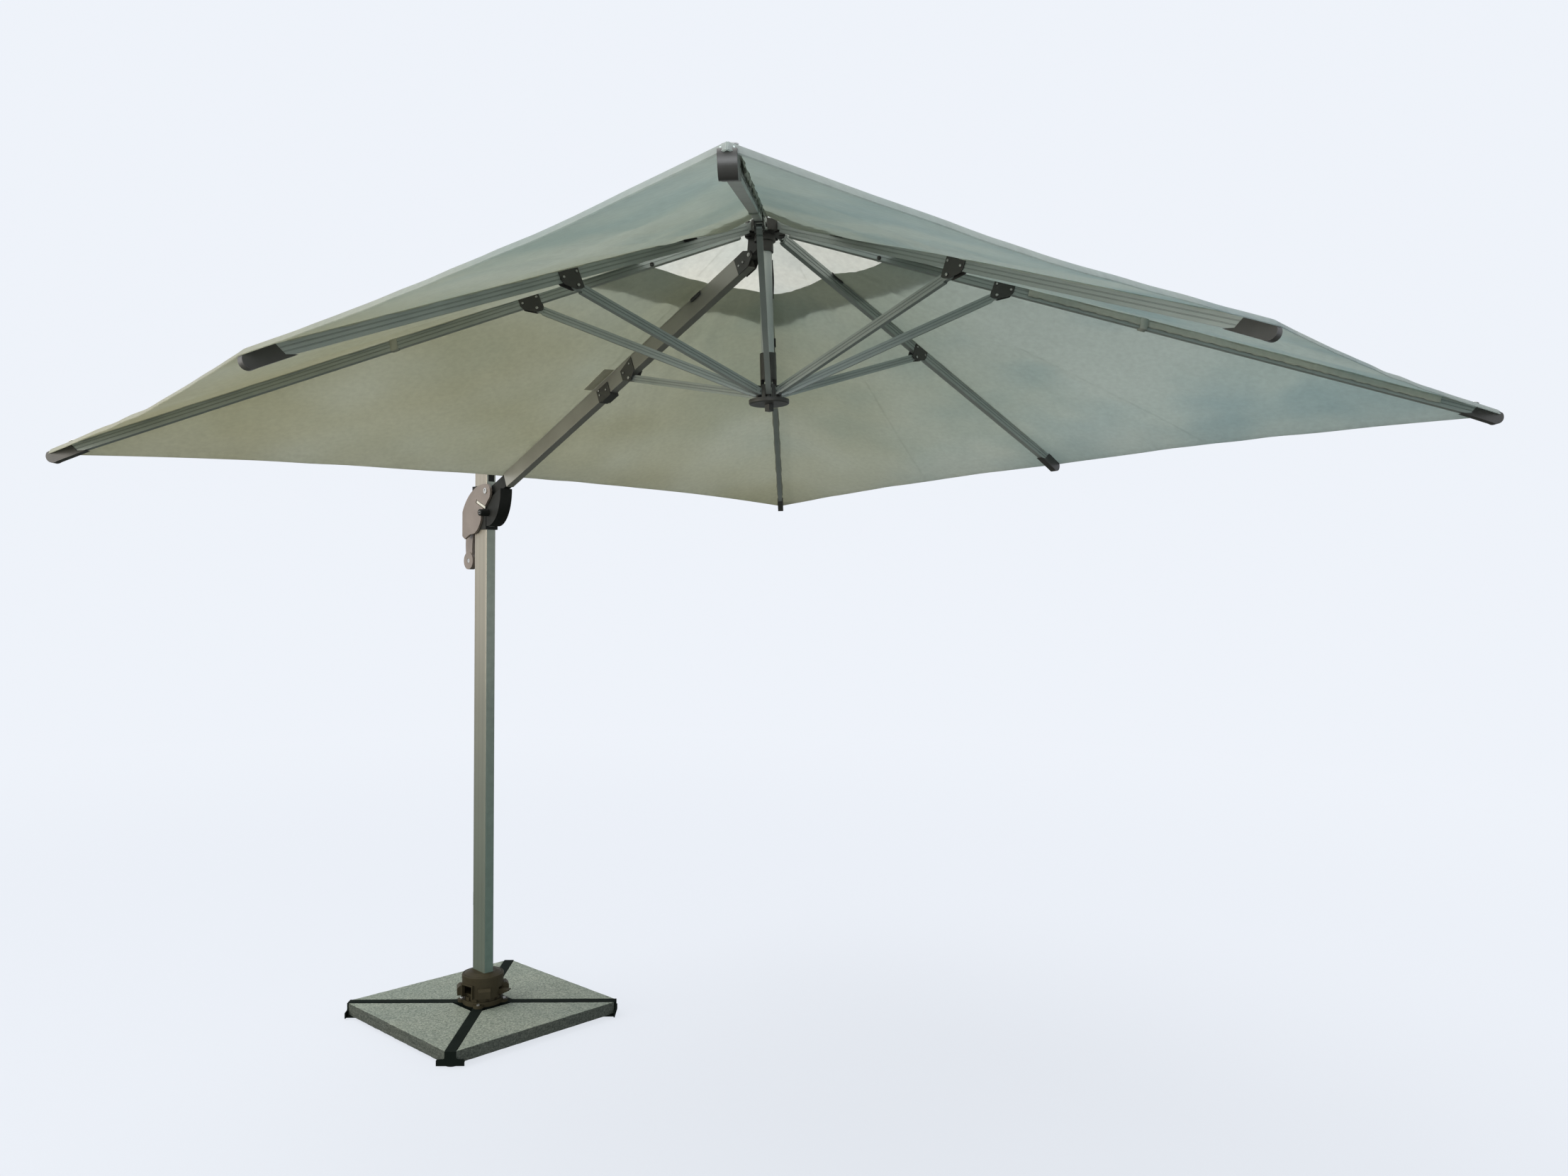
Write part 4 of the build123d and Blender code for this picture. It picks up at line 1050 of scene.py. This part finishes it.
def side_spots(matrix, points, face_y, radius=0.0034, height=0.0016):
    """Screws on both side faces of a profile, at (along, up) points."""
    spots = []
    for along, up in points:
        for side in (-1, 1):
            turn = Matrix.Rotation(math.radians(-90 * side), 4, "X")
            spots.append((matrix @ Matrix.Translation((along, side * face_y, up)) @ turn, radius, height))
    return spots


def bracket_screws():
    """Screws in the strut brackets of the ribs, and in the boom's plates, bracket and sleeve."""
    for name in (*CORNERS, *MIDS):
        along, up = NW_STRUT_PIN if name == "nw" else CORNER_STRUT_PIN if name in CORNERS else MID_STRUT_PIN
        matrix = rib_frame(name)
        face = RIB_Y / 2 + PLATE_THICK
        points = [(along - 0.008, -PIN_UP + 0.004), (along + 0.036, -PIN_UP - 0.002)]
        spots = side_spots(matrix, points, face + 0.0014)
        spots += side_spots(matrix, [(along, up)], face + 0.002, 0.0042, 0.0016)
        screws("bracket_screws_" + name, "rib_" + name, spots)
    matrix = boom_frame()
    hub_pin = matrix.inverted() @ Vector(JOINTS["canopy_fold"]["pos_m"])
    reach = hub_pin.x
    drop = -0.010
    face = BOOM_HALF_Y + PLATE_THICK
    at = reach - BOOM_BRACKET_BACK
    clamp = BOOM_SLEEVE_AT
    spots = side_spots(matrix, [(at - 0.020, drop - 0.008), (at + 0.020, drop + 0.004)], face + 0.0016)
    spots += side_spots(matrix, [(at, drop - 0.038)], face + 0.0024, 0.005, 0.0018)
    spots += side_spots(matrix, [(clamp - 0.020, drop - 0.010), (clamp + 0.018, drop - 0.010),
                                 (clamp - 0.020, drop + 0.006)], face + 0.0016)
    spots += side_spots(matrix, [(reach - 0.050, drop - 0.006), (reach - 0.030, drop - 0.006)], face + 0.0012)
    spots += side_spots(matrix, [(reach, hub_pin.z)], face + 0.0015, 0.005, 0.0018)
    screws("boom_screws", "boom", spots)


def rib_bolts():
    """Cloth bolts on the corner ribs near the vent."""
    for name in CORNERS:
        spots = side_spots(rib_frame(name), [(BOLT_AT, -PIN_UP - 0.009)], RIB_Y / 2, 0.0065, 0.0045)
        screws("rib_bolts_" + name, "rib_" + name, spots, PLATE)


def corner_eyelets():
    """Metal eyelet in the folded corner of the cloth, above each corner cap."""
    for name in CORNERS:
        ring = []
        for k in range(13):
            angle = 2 * math.pi * k / 12
            ring.append((0.0085 + 0.0028 * math.cos(angle), 0.0016 * math.sin(angle)))
        eyelet = lathe("eyelet_" + name, ring, 32)
        spot = Matrix.Translation((CORNER_LENGTH - 0.072, 0, rib_top() + 0.0086))
        fit(place(eyelet, rib_frame(name) @ spot), STEEL, "rib_" + name)


def tube_fittings():
    """Oval button and webbing strap on the centre tube."""
    matrix = HUB @ Matrix.Rotation(math.radians(TUBE_FITTINGS_TURN), 4, "Z")
    button = rounded_block("tube_button", (0.012, 0.0065, 0.028), 0.0028)
    place(button, matrix @ Matrix.Translation((TUBE_R + 0.001, 0, -0.330)))
    fit(button, BLACK, "runner")
    steps = 20
    path = []
    for i in range(steps + 1):
        bulge = 0.0022 * math.sin(math.pi * i / steps) ** 2
        path.append(Vector((TUBE_R + 0.0012 + bulge, 0, -0.085 - 0.115 * i / steps)))
    strap = swept_band("tube_strap", path, Vector((0, 1, 0)), 0.012, 0.0016)
    place(strap, matrix)
    finish_cloth(strap, STRAP)
    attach(strap, "runner")


def crank_insert():
    """Lighter square liner in the winding socket."""
    low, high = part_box("crank_socket")
    x = (low.x + high.x) / 2
    z = (low.z + high.z) / 2
    outer, inner = 0.0049, 0.0037
    front, deep = low.y + 0.0004, low.y + 0.018
    corners = ((-1, -1), (1, -1), (1, 1), (-1, 1))
    verts = []
    for half, y in ((outer, deep), (outer, front), (inner, front), (inner, deep)):
        verts += [(x + sx * half, y, z + sz * half) for sx, sz in corners]
    faces = []
    for ring in range(4):
        a, b = 4 * ring, 4 * ((ring + 1) % 4)
        for i in range(4):
            j = (i + 1) % 4
            faces.append((a + i, a + j, b + j, b + i))
    liner = mesh_from("crank_liner", verts, faces, False)
    weld(liner)
    fit(liner, STEEL, "crank")


def details():
    seam_tapes()
    gathered_strip("se", side=1, start=0.62, depth=0.015, wave=1.0, tone=0.8)
    gathered_strip("ne", side=-1, start=0.745, depth=0.021, wave=0.25, tone=1.0)
    loops_and_tabs()
    boom_flap()
    bracket_screws()
    rib_bolts()
    corner_eyelets()
    tube_fittings()
    crank_insert()


# ------------------------------------------------------------------ base
def stone_slabs():
    """Four triangular slabs with worn arrises and rough split sides."""
    low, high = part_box("base_stones")
    half = STONE_HALF
    tip = STONE_TIP
    reach = (STRAP_HALF + STONE_GAP) * math.sqrt(2)
    outline = [
        Vector((half, reach - half, 0)),
        Vector((half, half - reach, 0)),
        Vector((tip, tip - reach, 0)),
        Vector((tip, reach - tip, 0)),
    ]
    for quarter in range(4):
        bm = bmesh.new()
        bottom = [bm.verts.new((v.x, v.y, low.z)) for v in outline]
        face = bm.faces.new(bottom)
        made = bmesh.ops.extrude_face_region(bm, geom=[face])
        moved = [g for g in made["geom"] if isinstance(g, bmesh.types.BMVert)]
        bmesh.ops.translate(bm, vec=(0, 0, high.z - low.z), verts=moved)
        bmesh.ops.recalc_face_normals(bm, faces=bm.faces)
        bmesh.ops.bevel(bm, geom=bm.edges[:], offset=ARRIS, segments=2, profile=0.5, affect="EDGES")
        long_edges = [e for e in bm.edges if e.calc_length() > 0.02]
        bmesh.ops.subdivide_edges(bm, edges=long_edges, cuts=44, use_grid_fill=True)
        bmesh.ops.triangulate(bm, faces=[f for f in bm.faces if len(f.verts) > 4])
        for v in bm.verts:
            spot = v.co * 1000
            outer = smooth_step((v.co.x - half + 0.006) / 0.005)
            rough = noise.fractal(Vector((spot.x, spot.y, spot.z + 300 * quarter)) * 0.055, 0.8, 2.1, 4)
            fine = noise.noise(spot * 0.35)
            v.co.x -= outer * (0.0016 + 0.0016 * rough + 0.0005 * fine)
            if v.co.z > high.z - 0.004:
                v.co.z -= 0.0004 + 0.0003 * fine
        mesh = bpy.data.meshes.new("stone")
        bm.to_mesh(mesh)
        bm.free()
        mesh.transform(Matrix.Rotation(quarter * math.pi / 2 + BASE_TURN, 4, "Z"))
        slab = link("stone_slab_" + "enws"[quarter], mesh)
        paint(slab, STONE, STONE_SIDE)
        for polygon in mesh.polygons:
            polygon.use_smooth = True
            polygon.material_index = 0 if abs(polygon.normal.z) > 0.6 else 1
        add_modifier(slab, "WEIGHTED_NORMAL", keep_sharp=True)
        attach(slab, "base")
        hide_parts("base_stones")


# ------------------------------------------------------------------ stage, light, camera
PALE_SKY = (0.86, 0.895, 0.955)
GROUND = (0.105, 0.115, 0.105)


def stage_floor():
    """Pale floor that fades into the backdrop. It catches shadows and throws no light back up."""
    verts = [(-59, -60, -0.0006), (61, -60, -0.0006), (61, 60, -0.0006), (-59, 60, -0.0006)]
    floor = mesh_from("floor", verts, [(0, 1, 2, 3)], False)
    n = Nodes("floor_pale")
    n.set(Base_Color=(0.43, 0.45, 0.49, 1), Roughness=0.9, Specular_IOR_Level=0.05)
    away = n.new("ShaderNodeVectorMath", {0: n.coords}, operation="LENGTH")
    inputs = {"From Min": 1.0, "From Max": 9.0, "To Min": 0.80, "To Max": 1.0, "Value": away.outputs["Value"]}
    far = n.new("ShaderNodeMapRange", inputs, interpolation_type="SMOOTHSTEP")
    n.blend_with(far.outputs[0], n.new("ShaderNodeEmission", {"Color": (*PALE_SKY, 1)}))
    paint(floor, n.material)
    floor.visible_diffuse = False
    floor.visible_glossy = False
    floor.visible_transmission = False


def world():
    """Even pale surround, dark below the horizon as over a dark ground."""
    studio = bpy.data.worlds.new("studio")
    bpy.context.scene.world = studio
    studio.use_nodes = True
    tree = studio.node_tree
    coords = add_node(tree, "ShaderNodeTexCoord").outputs["Generated"]
    split = add_node(tree, "ShaderNodeSeparateXYZ", {0: coords})
    inputs = {"From Min": -0.26, "From Max": -0.05, "Value": split.outputs["Z"]}
    level = add_node(tree, "ShaderNodeMapRange", inputs, interpolation_type="SMOOTHSTEP")
    inputs = {0: level.outputs[0], 6: (*GROUND, 1), 7: (*PALE_SKY, 1)}
    mixed = add_node(tree, "ShaderNodeMix", inputs, data_type="RGBA")
    back = tree.nodes["Background"]
    tree.links.new(mixed.outputs[2], back.inputs["Color"])
    back.inputs["Strength"].default_value = 1.0


def light(name, kind, energy, colour, at, target, **values):
    data = bpy.data.lights.new(name, kind)
    data.energy = energy
    data.color = colour
    for key, value in values.items():
        setattr(data, key, value)
    obj = link(name, data)
    obj.location = at
    obj.rotation_euler = (Vector(target) - Vector(at)).to_track_quat("-Z", "Y").to_euler()


def lights():
    """Soft overhead light, a warm one on the mast's side and a cool one from the front."""
    light("overhead", "SUN", 2.3, (1.0, 0.985, 0.95), (-1.2, -1.6, 6), (0.4, 0, 0), angle=math.radians(50))
    light("side", "AREA", 100, (1.0, 0.93, 0.82), (-0.9, -5.2, 1.9), (0.3, 0, 2.5),
          shape="RECTANGLE", size=5, size_y=2.6, spread=math.radians(100))
    light("front", "AREA", 190, (0.93, 0.97, 1.0), (6.6, -4.2, 2.2), (1.5, 0, 2.2),
          shape="RECTANGLE", size=4, size_y=3)


def camera():
    yaw = math.radians(CAMERA_YAW)
    pitch = math.radians(CAMERA_PITCH)
    roll = math.radians(CAMERA_ROLL)
    forward = Vector((math.cos(yaw) * math.cos(pitch), math.sin(yaw) * math.cos(pitch), math.sin(pitch)))
    level = forward.cross(Vector((0, 0, 1))).normalized()
    above = level.cross(forward)
    right = math.cos(roll) * level + math.sin(roll) * above
    up = math.cos(roll) * above - math.sin(roll) * level
    data = bpy.data.cameras.new("camera")
    data.lens = LENS_MM
    data.sensor_width = SENSOR_MM
    data.clip_end = 200
    obj = link("camera", data)
    matrix = Matrix((right, up, -forward)).transposed().to_4x4()
    matrix.translation = CAMERA_AT
    obj.matrix_world = matrix
    bpy.context.scene.camera = obj


camera()
world()
lights()
stage_floor()
paint_nodes()
canopy()
cowl_crown()
details()
stone_slabs()
bpy.context.scene.view_settings.view_transform = "Standard"
bpy.context.view_layer.update()
